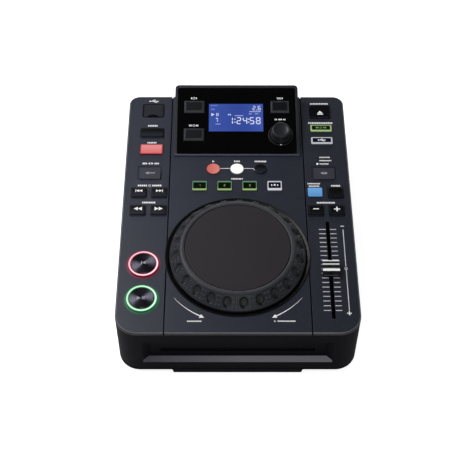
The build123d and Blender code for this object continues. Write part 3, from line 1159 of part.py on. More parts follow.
with BuildPart() as power_supply:
    block(*SUPPLY_BOARD_AT, board_low, board_high, *SUPPLY_BOARD)
    for part_x, part_y, part_w, part_d, part_h in SUPPLY_PARTS:
        block(
            SUPPLY_BOARD_AT[0] + part_x,
            SUPPLY_BOARD_AT[1] + part_y,
            board_high,
            board_high + part_h,
            part_w,
            part_d,
        )
power_supply.part.label = "power_supply"
export_step(power_supply.part, "parts/power_supply.step")

# ================================================================ back panel
with BuildPart() as rear_jacks:
    for jack_x in JACKS_X:
        block(
            jack_x,
            niche_back_y - JACK_BLOCK[1] / 2,
            JACK_Z - JACK_BLOCK[2] / 2,
            JACK_Z + JACK_BLOCK[2] / 2,
            JACK_BLOCK[0],
            JACK_BLOCK[1],
        )
        with BuildSketch(Plane.XZ.offset(-niche_back_y)):
            with Locations((jack_x, JACK_Z)):
                Circle(JACK_R)
        extrude(amount=-(WALL + JACK_OUT))
        with BuildSketch(Plane.XZ.offset(-(niche_back_y + WALL))):
            with Locations((jack_x, JACK_Z)):
                Circle(JACK_BORE_R)
                Circle(JACK_PIN_R, mode=Mode.SUBTRACT)
        extrude(amount=-JACK_OUT, mode=Mode.SUBTRACT)
    block(
        REMOTE_X,
        niche_back_y - JACK_BLOCK[1] / 2,
        JACK_Z - JACK_BLOCK[2] / 2,
        JACK_Z + JACK_BLOCK[2] / 2,
        JACK_BLOCK[0],
        JACK_BLOCK[1],
    )
    with BuildSketch(Plane.XZ.offset(-niche_back_y)):
        with Locations((REMOTE_X, JACK_Z)):
            Circle(REMOTE_R)
    extrude(amount=-(WALL + 1))
    with BuildSketch(Plane.XZ.offset(-(niche_back_y - JACK_BLOCK[1] + WALL))):
        with Locations((REMOTE_X, JACK_Z)):
            Circle(REMOTE_BORE_R)
    extrude(amount=-(JACK_BLOCK[1] + 1), mode=Mode.SUBTRACT)
    block(
        DATA_X,
        niche_back_y + WALL - DATA_BLOCK[2] / 2,
        JACK_Z - DATA_BLOCK[1] / 2,
        JACK_Z + DATA_BLOCK[1] / 2,
        DATA_BLOCK[0],
        DATA_BLOCK[2],
    )
    block(
        DATA_X,
        niche_back_y + WALL - DATA_BLOCK[2] / 2 + 1,
        JACK_Z - DATA_MOUTH[1] / 2,
        JACK_Z + DATA_MOUTH[1] / 2,
        DATA_MOUTH[0],
        DATA_BLOCK[2] - 2,
        mode=Mode.SUBTRACT,
    )
    inlet_w, inlet_h, inlet_d = INLET_BODY
    block(
        INLET_X,
        CASE_BACK_Y - inlet_d / 2,
        INLET_Z - inlet_h / 2,
        INLET_Z + inlet_h / 2,
        inlet_w,
        inlet_d,
    )
    block(
        INLET_X,
        CASE_BACK_Y - INLET_MOUTH[2] / 2,
        INLET_Z - INLET_MOUTH[1] / 2,
        INLET_Z + INLET_MOUTH[1] / 2,
        INLET_MOUTH[0],
        INLET_MOUTH[2],
        mode=Mode.SUBTRACT,
    )
    pin_w, pin_h, pin_l = INLET_PIN
    for pin_x, pin_z in INLET_PINS:
        block(
            INLET_X + pin_x,
            CASE_BACK_Y - INLET_MOUTH[2] + pin_l / 2,
            INLET_Z + pin_z - pin_h / 2,
            INLET_Z + pin_z + pin_h / 2,
            pin_w,
            pin_l,
        )
    power_h = 2 * (ROCKER_R + FIT + POWER_WALL)
    power_w = ROCKER_W + 2 * FIT + 2 * POWER_WALL
    power_d = ROCKER_PIVOT_IN + ROCKER_R + FIT + POWER_WALL
    block(
        POWER_X,
        CASE_BACK_Y - power_d / 2,
        INLET_Z - power_h / 2,
        INLET_Z + power_h / 2,
        power_w,
        power_d,
    )
    block(
        POWER_X,
        CASE_BACK_Y - (power_d - POWER_WALL) / 2,
        INLET_Z - power_h / 2 + POWER_WALL,
        INLET_Z + power_h / 2 - POWER_WALL,
        power_w - 2 * POWER_WALL,
        power_d - POWER_WALL,
        mode=Mode.SUBTRACT,
    )
    with BuildSketch(Plane.YZ.offset(POWER_X - power_w / 2)):
        with Locations((ROCKER_PIVOT_Y, INLET_Z)):
            Circle(ROCKER_PIN_R + RUN_FIT)
    extrude(amount=power_w, mode=Mode.SUBTRACT)
rear_jacks.part.label = "rear_jacks"
export_step(rear_jacks.part, "parts/rear_jacks.step")

with BuildPart() as power_rocker:
    with BuildSketch(Plane.YZ.offset(POWER_X - ROCKER_W / 2)):
        with Locations((ROCKER_PIVOT_Y, INLET_Z)):
            Circle(ROCKER_R)
        tilt_rise = ROCKER_R * tan(radians(ROCKER_TILT))
        face_y = ROCKER_PIVOT_Y + ROCKER_FACE
        with BuildLine():
            Polyline(
                (ROCKER_PIVOT_Y - ROCKER_DEEP, INLET_Z - ROCKER_R),
                (face_y + 2 * tilt_rise, INLET_Z - ROCKER_R),
                (face_y, INLET_Z),
                (face_y, INLET_Z + ROCKER_R),
                (ROCKER_PIVOT_Y - ROCKER_DEEP, INLET_Z + ROCKER_R),
                close=True,
            )
        make_face(mode=Mode.INTERSECT)
    extrude(amount=ROCKER_W)
    with BuildSketch(Plane.YZ.offset(POWER_X - ROCKER_W / 2 - FIT - POWER_WALL)):
        with Locations((ROCKER_PIVOT_Y, INLET_Z)):
            Circle(ROCKER_PIN_R)
    extrude(amount=ROCKER_W + 2 * FIT + 2 * POWER_WALL)
power_rocker.part.label = "power_rocker"
export_step(power_rocker.part, "parts/power_rocker.step")
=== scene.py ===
"""Dresses the packed disc player: finishes, prints, lit keys, display and stage."""
from math import atan2, cos, pi, radians, sin

import bmesh
import bpy
from bpy.props import FloatProperty, FloatVectorProperty, IntProperty, PointerProperty
from mathutils import Matrix, Vector


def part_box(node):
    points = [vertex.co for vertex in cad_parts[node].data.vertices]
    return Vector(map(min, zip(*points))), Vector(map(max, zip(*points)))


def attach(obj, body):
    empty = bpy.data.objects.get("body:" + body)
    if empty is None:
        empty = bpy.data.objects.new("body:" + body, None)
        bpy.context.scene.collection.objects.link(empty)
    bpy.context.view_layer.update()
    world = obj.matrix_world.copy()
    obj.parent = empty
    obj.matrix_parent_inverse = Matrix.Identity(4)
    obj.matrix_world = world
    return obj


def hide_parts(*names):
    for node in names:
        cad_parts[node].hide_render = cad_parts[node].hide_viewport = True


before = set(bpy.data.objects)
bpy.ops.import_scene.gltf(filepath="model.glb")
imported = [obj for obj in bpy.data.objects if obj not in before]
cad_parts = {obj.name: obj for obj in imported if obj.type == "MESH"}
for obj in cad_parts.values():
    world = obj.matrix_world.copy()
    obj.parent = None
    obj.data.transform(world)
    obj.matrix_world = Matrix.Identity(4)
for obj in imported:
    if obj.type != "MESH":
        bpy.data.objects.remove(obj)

bl_info = {
    "name": "Tabletop Disc Player",
    "version": (1, 0, 0),
    "blender": (4, 5, 0),
    "location": "3D View > Sidebar > Disc Player",
    "description": "Finishes, prints, lights and stage for the packed disc player",
    "category": "Object",
}

# ---------------------------------------------------------------- places
# Distances here are in millimetres. MM turns them into Blender's metres.
MM = 0.001
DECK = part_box("deck_centre")[1].z / MM       # top of the deck plates
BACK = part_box("case_shell")[1].y / MM        # back face of the case
HOOD_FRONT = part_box("display_hood")[0].y / MM
HOOD_LIP = 1.6                               # height of the hood's front edge
SLOPE = atan2(16.4, 80.6)                    # tilt of the hood's face
JOG_Y = (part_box("jog_plate")[0].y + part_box("jog_plate")[1].y) / 2 / MM
JOG_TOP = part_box("jog_plate")[1].z / MM
KNOB = (43.9, 23.3)                          # select knob, across and up the slope
DISPLAY = (-0.7, 44.0)                       # middle of the display on the slope
GLASS_SUNK = 0.6                             # display's glass below the fascia
LEFT_X, RIGHT_X = -85.0, 85.1                # middles of the two columns of keys
RING_X, CUE_Y, PLAY_Y = -86.8, -69.8, -107.9 # middles of the two light rings
FADER_MID = -74.2                            # middle of the pitch fader's slot
LINE_X = 99.6                                # line beside the pitch fader
ARROW_R = 74.5                               # arrows printed round the wheel
SLOT_Z = 32.7                                # middle of the disc slot
SOCKET_Z, SOCKET_FLOOR = 29.0, -9.0          # sockets' middle, and their niche's floor
BURIED, INK = -0.01, 0.05                    # foot of a print in its ground, and its top


def on_deck(x, y, h=0.0):
    """A point h above the deck plates."""
    return Vector((x, y, DECK + h)) * MM


def on_slope(x, s, h=0.0):
    """A point s up the hood's slope and h out of its face."""
    y = HOOD_FRONT + s * cos(SLOPE) - h * sin(SLOPE)
    z = DECK + HOOD_LIP + s * sin(SLOPE) + h * cos(SLOPE)
    return Vector((x, y, z)) * MM


def on_back(x, z, h=0.0):
    """A point on the back face, h out of it; x runs to the right of one who looks at it."""
    return Vector((-x, BACK + h, z)) * MM


def over(place, base):
    """A placing function whose ground lies base higher."""
    return lambda u, v, h: place(u, v, base + h)


def on_top(node):
    """A placing function for the flat top of a node."""
    return over(on_deck, middle(node)[2] - DECK)


def middle(node):
    """The middle of a node's box in millimetres, and the height of its top."""
    low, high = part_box(node)
    return (low.x + high.x) / 2 / MM, (low.y + high.y) / 2 / MM, high.z / MM


# ---------------------------------------------------------------- settings
def linear(colour):
    """Turn an sRGB hex colour, such as 3E404B, into a linear one, and leave a linear one."""
    if not isinstance(colour, str):
        return tuple(colour)
    parts = [int(colour[i : i + 2], 16) / 255 for i in (0, 2, 4)]
    return tuple(c / 12.92 if c <= 0.04045 else ((c + 0.055) / 1.055) ** 2.4 for c in parts) + (1.0,)


def tint(label, about, code):
    """A colour that the user can change."""
    return FloatVectorProperty(
        name=label, description=about, subtype="COLOR", size=4, min=0, max=1, default=linear(code)
    )


def length(label, about, size, least=0.0):
    """A length in millimetres that the user can change."""
    return FloatProperty(
        name=label, description=about, default=size * MM, min=least * MM, unit="LENGTH", precision=5
    )


def watts(label, about, power):
    """A lamp's power."""
    return FloatProperty(name=label, description=about, default=power, min=0, unit="POWER")


class ShellSettings(bpy.types.PropertyGroup):
    """Colours of the case, the deck and the hood."""

    case_colour: tint("Case", "Moulded case and its recess", "0E0D15")
    deck_colour: tint("Deck", "Satin paint of the deck plates", "323646")
    hood_colour: tint("Hood", "Moulded display hood", "292B32")
    print_colour: tint("Print", "Screen-printed marks", "F6F6FA")
    soften: length("Edge rounding", "Radius that moulded edges appear to have", 0.35)


class WheelSettings(bpy.types.PropertyGroup):
    """Sizes and colours of the jog wheel."""

    wheel_colour: tint("Wheel", "Soft grip of the wheel's cone", "282A31")
    plate_colour: tint("Plate", "Touch plate", "2D282F")
    dimples: IntProperty(name="Dimples", description="Finger dimples round the wheel", default=24, min=3)
    phase: FloatProperty(
        name="Phase", description="Where the first dimple stands at rest", default=radians(5.1), subtype="ANGLE"
    )
    dimple_width: length("Dimple width", "Width of a dimple round the wheel", 7.9, 1.0)
    dimple_length: length("Dimple length", "Length of a dimple up the cone", 10.9, 1.0)
    dimple_depth: length("Dimple depth", "Depth of a dimple", 2.1)
    bump_radius: length("Bump radius", "Radius of a grip bump between two dimples", 1.2, 0.1)
    bump_pitch: length("Bump pitch", "Distance between two grip bumps up the cone", 4.3, 0.5)


class LightSettings(bpy.types.PropertyGroup):
    """Colours of what is lit from inside."""

    cue_ring: tint("Cue ring", "Light round the cue key", "F02A66")
    play_ring: tint("Play ring", "Light round the play key", "3EDC80")
    cue_keys: tint("Cue keys", "Frames of the numbered keys", "5A8467")
    disc_key: tint("Disc key", "Frame of the disc key", "9DB97F")
    white_keys: tint("White keys", "Frames of the memory and USB keys", "D9DBE8")
    brake_key: tint("Brake key", "Lit brake key", "E3777A")
    in_key: tint("In key", "Lit loop-in key", "D96F66")
    out_key: tint("Out key", "Lit loop-out key", "FDFDFB")
    tempo_key: tint("Tempo key", "Lit master tempo key", "5F9BD6")
    display: tint("Display", "Backlight of the display", "33499E")
    figures: tint("Figures", "Figures on the display", "CFD7F0")


class FaderSettings(bpy.types.PropertyGroup):
    """The scale beside the pitch fader."""

    marks: IntProperty(name="Marks", description="Marks in each row of the scale", default=19, min=2)
    pitch: length("Pitch", "Distance between two marks", 5.04, 1.0)
    mark_width: length("Mark width", "Thickness of a mark", 0.75, 0.1)


class StageSettings(bpy.types.PropertyGroup):
    """Floor, lamps and camera."""

    floor_colour: tint("Floor", "Seamless paper under the player", "F5F5F5")
    key_power: watts("Key lamp", "Softbox over the left shoulder", 4.4)
    fill_power: watts("Fill lamp", "Softbox low on the left", 1.1)
    front_power: watts("Front lamp", "Softbox in front", 6.2)
    side_power: watts("Side lamp", "Softbox on the right", 0.3)
    back_power: watts("Back lamp", "Softbox low behind", 6.0)
    room: FloatProperty(name="Room", description="Strength of the room's own light", default=0.2, min=0)
    lens: FloatProperty(name="Lens", description="Focal length in millimetres", default=86.7, min=1)


# ---------------------------------------------------------------- nodes
def feed(node, inputs):
    """Fill a node's inputs. A node or a socket, or a list of them, is linked, and any other is set."""
    for key, value in inputs.items():
        for one in value if isinstance(value, list) else [value]:
            if isinstance(one, bpy.types.Node):
                one = next(socket for socket in one.outputs if socket.enabled)
            if isinstance(one, bpy.types.NodeSocket):
                node.id_data.links.new(one, node.inputs[key])
            else:
                node.inputs[key].default_value = one


def add(tree, kind, inputs=None, **settings):
    """Add a node with its settings, and fill its inputs."""
    node = tree.nodes.new(kind)
    for name, value in settings.items():
        setattr(node, name, value)
    feed(node, inputs or {})
    return node


def scaled(colour, factor):
    """A colour made lighter or darker."""
    return tuple(min(1.0, c * factor) for c in linear(colour)[:3]) + (1.0,)


def start_finish(name):
    """Start a material: its tree, its shader and its place on the piece."""
    material = bpy.data.materials.new(name)
    material.use_nodes = True
    tree = material.node_tree
    tree.nodes.clear()
    shader = add(tree, "ShaderNodeBsdfPrincipled")
    add(tree, "ShaderNodeOutputMaterial", {"Surface": shader})
    return material, tree, shader, add(tree, "ShaderNodeTexCoord").outputs["Object"]


def reopen(material):
    """The tree of a material that is made, its shader, its place on the piece and its skin."""
    tree = material.node_tree
    shader = tree.nodes["Principled BSDF"]
    where = tree.nodes["Texture Coordinate"].outputs["Object"]
    colour = shader.inputs["Base Color"]
    return tree, shader, where, colour.links[0].from_socket if colour.is_linked else None


# Moulded and painted finishes. The columns are sRGB colour, or None where a setting gives
# it; roughness; size and depth of the grain (mm); specular level; how many times lighter
# the edges are painted, a painted highlight; and how round they look (mm). Grains under about 1 mm are drawn
# that coarse, so that they show.
FINISHES = {
    # Spark-eroded ABS: a fine matt grain.
    "spark_eroded_abs": (None, 0.55, 1.4, 0.02, 0.06, 2.2, 0.35),
    # Powder-coated steel sheet: slightly pebbled.
    "powder_coated_steel": ("0E0E12", 0.6, 1.8, 0.05, 0.08, 1.2, 0.4),
    # Nitrile rubber: dull, no grain to speak of.
    "nitrile_rubber": ("161617", 0.8, 2.5, 0.02, 0.2, 1.1, 0.6),
    # The cross recesses of screws are dark.
    "screw_recess": ("0B0B0C", 0.6, 1.0, 0.01, 0.2, 1.0, 0.1),
    # Satin paint on ABS: smooth, with a little orange peel.
    "satin_paint": (None, 0.38, 1.6, 0.012, 0.5, 3.6, 0.35),
    # Screen-print ink: matt, with pinholes where the screen left less of it.
    "screen_ink": (None, 0.6, 0.9, 0.005, 0.2, 1.0, 0.02),
    "thin_screen_ink": ("F0F1F6", 0.6, 0.9, 0.005, 0.3, 1.0, 0.02),
    "faded_ink": ("B4B3C4", 0.5, 0.9, 0.003, 0.3, 1.0, 0.02),
    # A dim ink that draws a painted highlight along the fader cap's front edge.
    "dim_ink": ("77777E", 0.6, 0.9, 0.003, 0.3, 1.0, 0.02),
    # Black and dull: painted shade in the gaps round the USB cover and the dark keys.
    "bare_abs_edge": ("060608", 0.5, 1.2, 0.01, 0.15, 1.0, 0.05),
    # Soft-touch elastomer: a velvety film; on the bumps it is rubbed smoother and painted paler, a painted highlight.
    "soft_touch_elastomer": (None, 0.45, 1.1, 0.02, 0.4, 1.35, 0.4),
    "rubbed_elastomer": (None, 0.38, 1.1, 0.01, 0.5, 1.2, 0.2),
    # Hard-coated polyester film on aluminium, with a fine satin grain.
    "satin_film": (None, 0.5, 1.3, 0.012, 0.35, 1.6, 0.3),
    # Polished ABS: deep black, and only the side across from a lamp shines.
    "polished_abs": ("050508", 0.36, 2.0, 0.003, 0.34, 1.5, 0.1),
    # Satin ABS of the hood, its keys' rims and faces, and the knob's collar. The keys' rims are paler than their
    # faces: a painted highlight of the keys' bevels.
    "satin_abs": (None, 0.4, 1.4, 0.015, 0.5, 2.6, 0.5),
    "hood_key_rim": ("32343C", 0.34, 1.2, 0.01, 0.4, 2.4, 0.3),
    "hood_key_abs": ("101218", 0.34, 1.2, 0.01, 0.3, 3.0, 0.4),
    "collar_abs": ("1B1C20", 0.35, 1.2, 0.01, 0.5, 3.0, 0.4),
    # Black mask behind the display's glass.
    "display_mask": ("040405", 0.2, 2.0, 0.003, 0.3, 1.0, 0.02),
    # Soft-touch paint on the knob: even, with its edges painted a little pale, a painted highlight.
    "soft_touch_knob": ("26272D", 0.36, 1.2, 0.01, 0.5, 2.0, 0.3),
    # Keys of moulded ABS: satin; a darker copy of it for the keys on the right, which is painted shade; smoked; and
    # glossy.
    "satin_key_abs": ("13151C", 0.36, 1.2, 0.01, 0.2, 4.0, 0.4),
    "dark_key_abs": ("07080B", 0.36, 1.2, 0.01, 0.2, 14.0, 0.5),
    "smoked_key_abs": ("3D3E4B", 0.4, 1.2, 0.01, 0.5, 1.5, 0.3),
    "gloss_key_abs": ("0A0B13", 0.2, 2.0, 0.003, 0.35, 3.0, 0.3),
    # Smoked acrylic windows, dyed green over a green lamp.
    "smoked_green_window": ("051503", 0.3, 2.0, 0.003, 0.15, 1.0, 0.1),
    "smoked_window": ("0E0F1C", 0.3, 2.0, 0.003, 0.15, 1.0, 0.1),
    # Moulded ABS, nearly black.
    "fader_cap_abs": ("101014", 0.34, 1.2, 0.01, 0.5, 2.4, 0.35),
    # Glass-filled nylon: slightly rough.
    "glass_filled_nylon": ("101012", 0.5, 1.0, 0.02, 0.35, 1.5, 0.2),
    # Gloss ABS.
    "rocker_abs": ("0D0D0F", 0.25, 2.0, 0.004, 0.5, 1.8, 0.4),
    # Rubber: dull and a little dusty.
    "cover_rubber": ("272A34", 0.6, 1.5, 0.02, 0.2, 0.4, 0.7),
    # Polypropylene insulators in the colours of their channels.
    "jack_insulator_left": ("D8D6D0", 0.4, 1.0, 0.01, 0.5, 1.1, 0.2),
    "jack_insulator_right": ("A8201E", 0.4, 1.0, 0.01, 0.5, 1.1, 0.2),
    "jack_insulator_digital": ("C9701C", 0.4, 1.0, 0.01, 0.5, 1.1, 0.2),
    # Rubber that damps, and rubber that grips: dull and grainy.
    "damper_rubber": ("1A1A1C", 0.85, 2.0, 0.03, 0.2, 1.1, 0.6),
    "roller_rubber": ("2B2B2D", 0.8, 1.6, 0.03, 0.2, 1.1, 0.5),
    # Acetal: waxy and pale.
    "acetal": ("D6D3C8", 0.35, 1.2, 0.01, 0.5, 1.05, 0.3),
    # Liquid-crystal polymer of the sled: dark and even.
    "sled_polymer": ("22242A", 0.45, 1.2, 0.01, 0.4, 1.4, 0.3),
}


def moulded(name, colour=None, soften=None, painted_face_shade=None):
    """One of the moulded finishes, in a colour of its own or in the table's.

    The colour drifts a little over the part, and its edges are painted lighter, a painted highlight. The face-shade
    pair (factor at the back, factor at the front) scales a key's colour from back to front: painted shade at its back
    and a painted highlight at its front.
    """
    listed, roughness, grain, depth, specular, painted_edge_highlight, rounding = FINISHES[name]
    colour = linear(colour or listed)
    rounding = rounding if soften is None else soften
    material, tree, shader, where = start_finish(name)
    drift = add(tree, "ShaderNodeTexNoise", {"Vector": where, "Scale": 1 / (45 * MM), "Detail": 3.0})
    grit = add(tree, "ShaderNodeTexNoise", {"Vector": where, "Scale": 1 / (grain * MM), "Detail": 2.0})
    both = add(tree, "ShaderNodeMath", {0: drift, 1: grit}, operation="ADD")
    spread = add(tree, "ShaderNodeMapRange", {"Value": both, "From Min": 0.7, "From Max": 1.3})
    face = add(
        tree, "ShaderNodeMix", {0: spread, 6: scaled(colour, 0.9), 7: scaled(colour, 1.1)}, data_type="RGBA"
    )
    round_off = add(tree, "ShaderNodeBevel", {"Radius": rounding * MM}, samples=4)
    flat = add(tree, "ShaderNodeNewGeometry").outputs["Normal"]
    agree = add(tree, "ShaderNodeVectorMath", {0: round_off, 1: flat}, operation="DOT_PRODUCT")
    edge = add(tree, "ShaderNodeMapRange", {"Value": agree, "From Min": 0.995, "From Max": 0.85})
    if painted_face_shade:
        # Painted shade at the back of a key's face and a painted highlight at its front.
        spot = add(tree, "ShaderNodeSeparateXYZ", {0: add(tree, "ShaderNodeTexCoord").outputs["Generated"]})
        tilt = add(
            tree, "ShaderNodeMapRange",
            {"Value": spot.outputs[1], "From Min": 0.72, "From Max": 0.3, "To Min": painted_face_shade[0], "To Max": painted_face_shade[1]},
            interpolation_type="SMOOTHSTEP",
        )
        face = add(tree, "ShaderNodeMix", {0: 1.0, 6: face, 7: tilt}, data_type="RGBA", blend_type="MULTIPLY")
    # Edges are painted lighter: a painted highlight.
    skin = add(tree, "ShaderNodeMix", {0: edge, 6: face, 7: scaled(colour, painted_edge_highlight)}, data_type="RGBA")
    gloss = add(
        tree, "ShaderNodeMapRange",
        {"Value": grit, "From Min": 0.3, "From Max": 0.7, "To Min": roughness - 0.04, "To Max": roughness + 0.04},
    )
    bump = add(
        tree, "ShaderNodeBump", {"Strength": 1.0, "Distance": depth * MM, "Height": grit, "Normal": round_off}
    )
    feed(shader, {"Specular IOR Level": specular, "Base Color": skin, "Roughness": gloss, "Normal": bump})
    return material


def patched(material, colour, **spans):
    """Lay a colour over a finish where X, Y or Z (mm) is within its span."""
    tree, shader, where, skin = reopen(material)
    place = add(tree, "ShaderNodeSeparateXYZ", {0: where})
    inside = 1.0
    for axis, (low, high) in spans.items():
        span = {0: place.outputs[axis], 1: (low + high) / 2 * MM, 2: (high - low) / 2 * MM}
        test = add(tree, "ShaderNodeMath", span, operation="COMPARE")
        inside = add(tree, "ShaderNodeMath", {0: test, 1: inside}, operation="MULTIPLY")
    cover = add(tree, "ShaderNodeMix", {0: inside, 6: skin, 7: colour}, data_type="RGBA")
    feed(shader, {"Base Color": cover})
    return material


def glowing(name, colour, strength=1.0, toward=None, roughness=0.35, above=None):
    """Translucent plastic lit from inside.

    It is brighter where its lamp is: toward gives a paler colour, an axis of the piece,
    and from where to where on it (mm). Without it the light is only a little uneven.
    Where its walls are painted dark, it is lit only above a height (mm).
    """
    colour = linear(colour)
    material, tree, shader, where = start_finish(name)
    haze = add(tree, "ShaderNodeTexNoise", {"Vector": where, "Scale": 1 / (3 * MM), "Detail": 1.0})
    if toward:
        pale, axis, low, high = toward
        parts = add(tree, "ShaderNodeSeparateXYZ", {0: where})
        fade = add(
            tree, "ShaderNodeMapRange",
            {"Value": parts.outputs[axis], "From Min": low * MM, "From Max": high * MM},
            interpolation_type="SMOOTHSTEP",
        )
    else:
        pale = scaled(colour, 1.12)
        fade = add(tree, "ShaderNodeMapRange", {"Value": haze, "From Min": 0.35, "From Max": 0.65})
    light = add(tree, "ShaderNodeMix", {0: fade, 6: colour, 7: linear(pale)}, data_type="RGBA")
    bump = add(tree, "ShaderNodeBump", {"Distance": 0.01 * MM, "Height": haze})
    feed(shader, {
        "Base Color": scaled(colour, 0.1), "Roughness": roughness, "Specular IOR Level": 0.2,
        "Emission Strength": strength, "Emission Color": light, "Normal": bump,
    })
    if above is not None:
        height = add(tree, "ShaderNodeSeparateXYZ", {0: where})
        wall = add(
            tree, "ShaderNodeMapRange",
            {
                "Value": height.outputs[2], "From Min": (above - 0.25) * MM, "From Max": above * MM,
                "To Min": 0.06 * strength, "To Max": strength,
            },
        )
        feed(shader, {"Emission Strength": wall})
    return material


def metal(name, code, roughness=0.35, grain=0.8, stretch=(1.0, 1.0, 1.0)):
    """Bare or plated metal, with rolling marks or a plating's spangle of that grain (mm)."""
    material, tree, shader, where = start_finish(name)
    laid = add(tree, "ShaderNodeMapping", {"Vector": where, "Scale": stretch})
    marks = add(tree, "ShaderNodeTexNoise", {"Vector": laid, "Scale": 1 / (grain * MM), "Detail": 3.0})
    body = add(tree, "ShaderNodeMix", {0: marks, 6: scaled(code, 0.82), 7: scaled(code, 1.15)}, data_type="RGBA")
    gloss = add(
        tree, "ShaderNodeMapRange", {"Value": marks, "To Min": roughness - 0.08, "To Max": roughness + 0.1}
    )
    bump = add(tree, "ShaderNodeBump", {"Distance": 0.008 * MM, "Height": marks})
    feed(shader, {"Metallic": 1.0, "Base Color": body, "Roughness": gloss, "Normal": bump})
    return material


def mottled(name, grain, dark, pale, **fractal):
    """Start a finish that runs between two colours in patches of a size (mm); gives its patches too."""
    material, tree, shader, where = start_finish(name)
    patches = add(tree, "ShaderNodeTexNoise", {"Vector": where, "Scale": 1 / (grain * MM), **fractal})
    body = add(tree, "ShaderNodeMix", {0: patches, 6: linear(dark), 7: linear(pale)}, data_type="RGBA")
    feed(shader, {"Base Color": body})
    return material, tree, shader, patches


def dress(material, *nodes):
    """Give packed nodes their finish."""
    for name in nodes:
        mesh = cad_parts[name].data
        mesh.materials.clear()
        mesh.materials.append(material)


# ---------------------------------------------------------------- meshes
def hang(made, body):
    """Put an object on its body."""
    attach(made, body)
    return made


def make_piece(name, points, faces, material, body, smooth=None):
    """Make a closed mesh, turn its faces outwards, and hang it on a body."""
    mesh = bpy.data.meshes.new(name)
    mesh.from_pydata(points, [], faces)
    skin = bmesh.new()
    skin.from_mesh(mesh)
    bmesh.ops.recalc_face_normals(skin, faces=skin.faces)
    skin.to_mesh(mesh)
    skin.free()
    if smooth is not None:
        mesh.shade_smooth()
        mesh.set_sharp_from_angle(angle=radians(smooth))
    mesh.materials.append(material)
    made = bpy.data.objects.new(name, mesh)
    bpy.context.scene.collection.objects.link(made)
    return hang(made, body)


def raised(name, shapes, place, material, body, low=BURIED, high=INK):
    """Flat shapes that stand from low to high (mm) on a surface, as thick ink or an inlay does."""
    points, faces = [], []
    for shape in shapes:
        turn = sum(a[0] * b[1] - b[0] * a[1] for a, b in zip(shape, shape[1:] + shape[:1]))
        shape = shape if turn > 0 else shape[::-1]
        start, n = len(points), len(shape)
        points += [place(u, v, level) for level in (low, high) for u, v in shape]
        faces.append([start + i for i in reversed(range(n))])
        faces.append([start + n + i for i in range(n)])
        faces += [(start + i, start + (i + 1) % n, start + n + (i + 1) % n, start + n + i) for i in range(n)]
    return make_piece(name, points, faces, material, body)


def turned(name, outline, centre, place, material, body, steps=96, smooth=35, pressed=None):
    """Turn an outline of (radius, height) points about a centre, as on a lathe.

    The outline closes on itself, or starts and ends on the axis. Pressed tells how
    far a place (radius, height, angle) moves in and down, and how much painted shade it gets.
    """
    points, rings, faces, painted_shades = [], [], [], []
    for radius, height in outline:
        if radius == 0:
            rings.append([len(points)])
            points.append(place(*centre, height))
            painted_shades.append(0.0)
            continue
        rings.append(list(range(len(points), len(points) + steps)))
        for step in range(steps):
            angle = 2 * pi * step / steps
            inward, down, deep = pressed(radius, height, angle) if pressed else (0.0, 0.0, 0.0)
            r, h = radius - inward, height - down
            points.append(place(centre[0] + r * cos(angle), centre[1] + r * sin(angle), h))
            painted_shades.append(deep)
    pairs = list(zip(rings, rings[1:]))
    if len(rings[0]) > 1:
        pairs.append((rings[-1], rings[0]))
    for first, second in pairs:
        for step in range(steps):
            nxt = (step + 1) % steps
            square = [first[step % len(first)], first[nxt % len(first)]]
            square += [second[nxt % len(second)], second[step % len(second)]]
            square = list(dict.fromkeys(square))
            if len(square) > 2:
                faces.append(square)
    made = make_piece(name, points, faces, material, body, smooth)
    if pressed:
        # The painted shade of each place is kept on its point.
        made.data.attributes.new("painted_hollow_shade", "FLOAT", "POINT").data.foreach_set("value", painted_shades)
    return made


# ---------------------------------------------------------------- flat shapes
def placed(x, y, angle, points):
    """A shape turned by an angle in degrees, and moved."""
    c, s = cos(radians(angle)), sin(radians(angle))
    return [[(x + u * c - v * s, y + u * s + v * c) for u, v in points]]


def bar(x, y, width, depth, angle=0.0):
    """A rectangle."""
    w, d = width / 2, depth / 2
    return placed(x, y, angle, [(-w, -d), (w, -d), (w, d), (-w, d)])


def point_to(x, y, length, height, angle=0.0):
    """A triangle that points along an angle."""
    return placed(x, y, angle, [(-length / 2, -height / 2), (length / 2, 0), (-length / 2, height / 2)])


def on_circle(x, y, radius, angle):
    """A point at an angle, in radians, on a circle."""
    return x + radius * cos(angle), y + radius * sin(angle)


def dot(x, y, radius, corners=24):
    """A round dot."""
    return [[on_circle(x, y, radius, 2 * pi * i / corners) for i in range(corners)]]


def band(x, y, radius, width, start=0.0, end=360.0, steps=32, taper=1.0):
    """A ring or an arc of a line, in degrees, whose width may taper towards its start."""
    shapes = []
    for i in range(steps):
        a, b = (radians(start + (end - start) * (i + k) / steps) for k in (0, 1))
        first, last = (width * (taper + (1 - taper) * (i + k) / steps) / 2 for k in (0, 1))
        ends = (a, radius - first), (a, radius + first), (b, radius + last), (b, radius - last)
        shapes.append([on_circle(x, y, r, angle) for angle, r in ends])
    return shapes


def frame_of(x, y, width, depth, line):
    """Four bars round a rectangle."""
    shapes = []
    for side in (-1, 1):
        shapes += bar(x, y + side * (depth - line) / 2, width, line)
        shapes += bar(x + side * (width - line) / 2, y, line, depth - 2 * line)
    return shapes


def rounded(x, y, width, depth, radius, steps=5):
    """A rectangle with round corners."""
    points = []
    for k, (u, v) in enumerate(((1, 1), (-1, 1), (-1, -1), (1, -1))):
        hub = x + u * (width / 2 - radius), y + v * (depth / 2 - radius)
        points += [on_circle(*hub, radius, pi / 2 * (k + i / steps)) for i in range(steps + 1)]
    return points


def rim_of(x, y, width, depth, line, radius):
    """A line along the inside of a rectangle with round corners."""
    outer = rounded(x, y, width, depth, radius)
    inner = rounded(x, y, width - 2 * line, depth - 2 * line, max(0.1, radius - line))
    return [[outer[i - 1], outer[i], inner[i], inner[i - 1]] for i in range(len(outer))]


SEGMENTS = {
    "1": "bc", "2": "abged", "3": "abgcd", "4": "fgbc",
    "5": "afgcd", "6": "afgedc", "7": "abc", "8": "abcdefg",
}


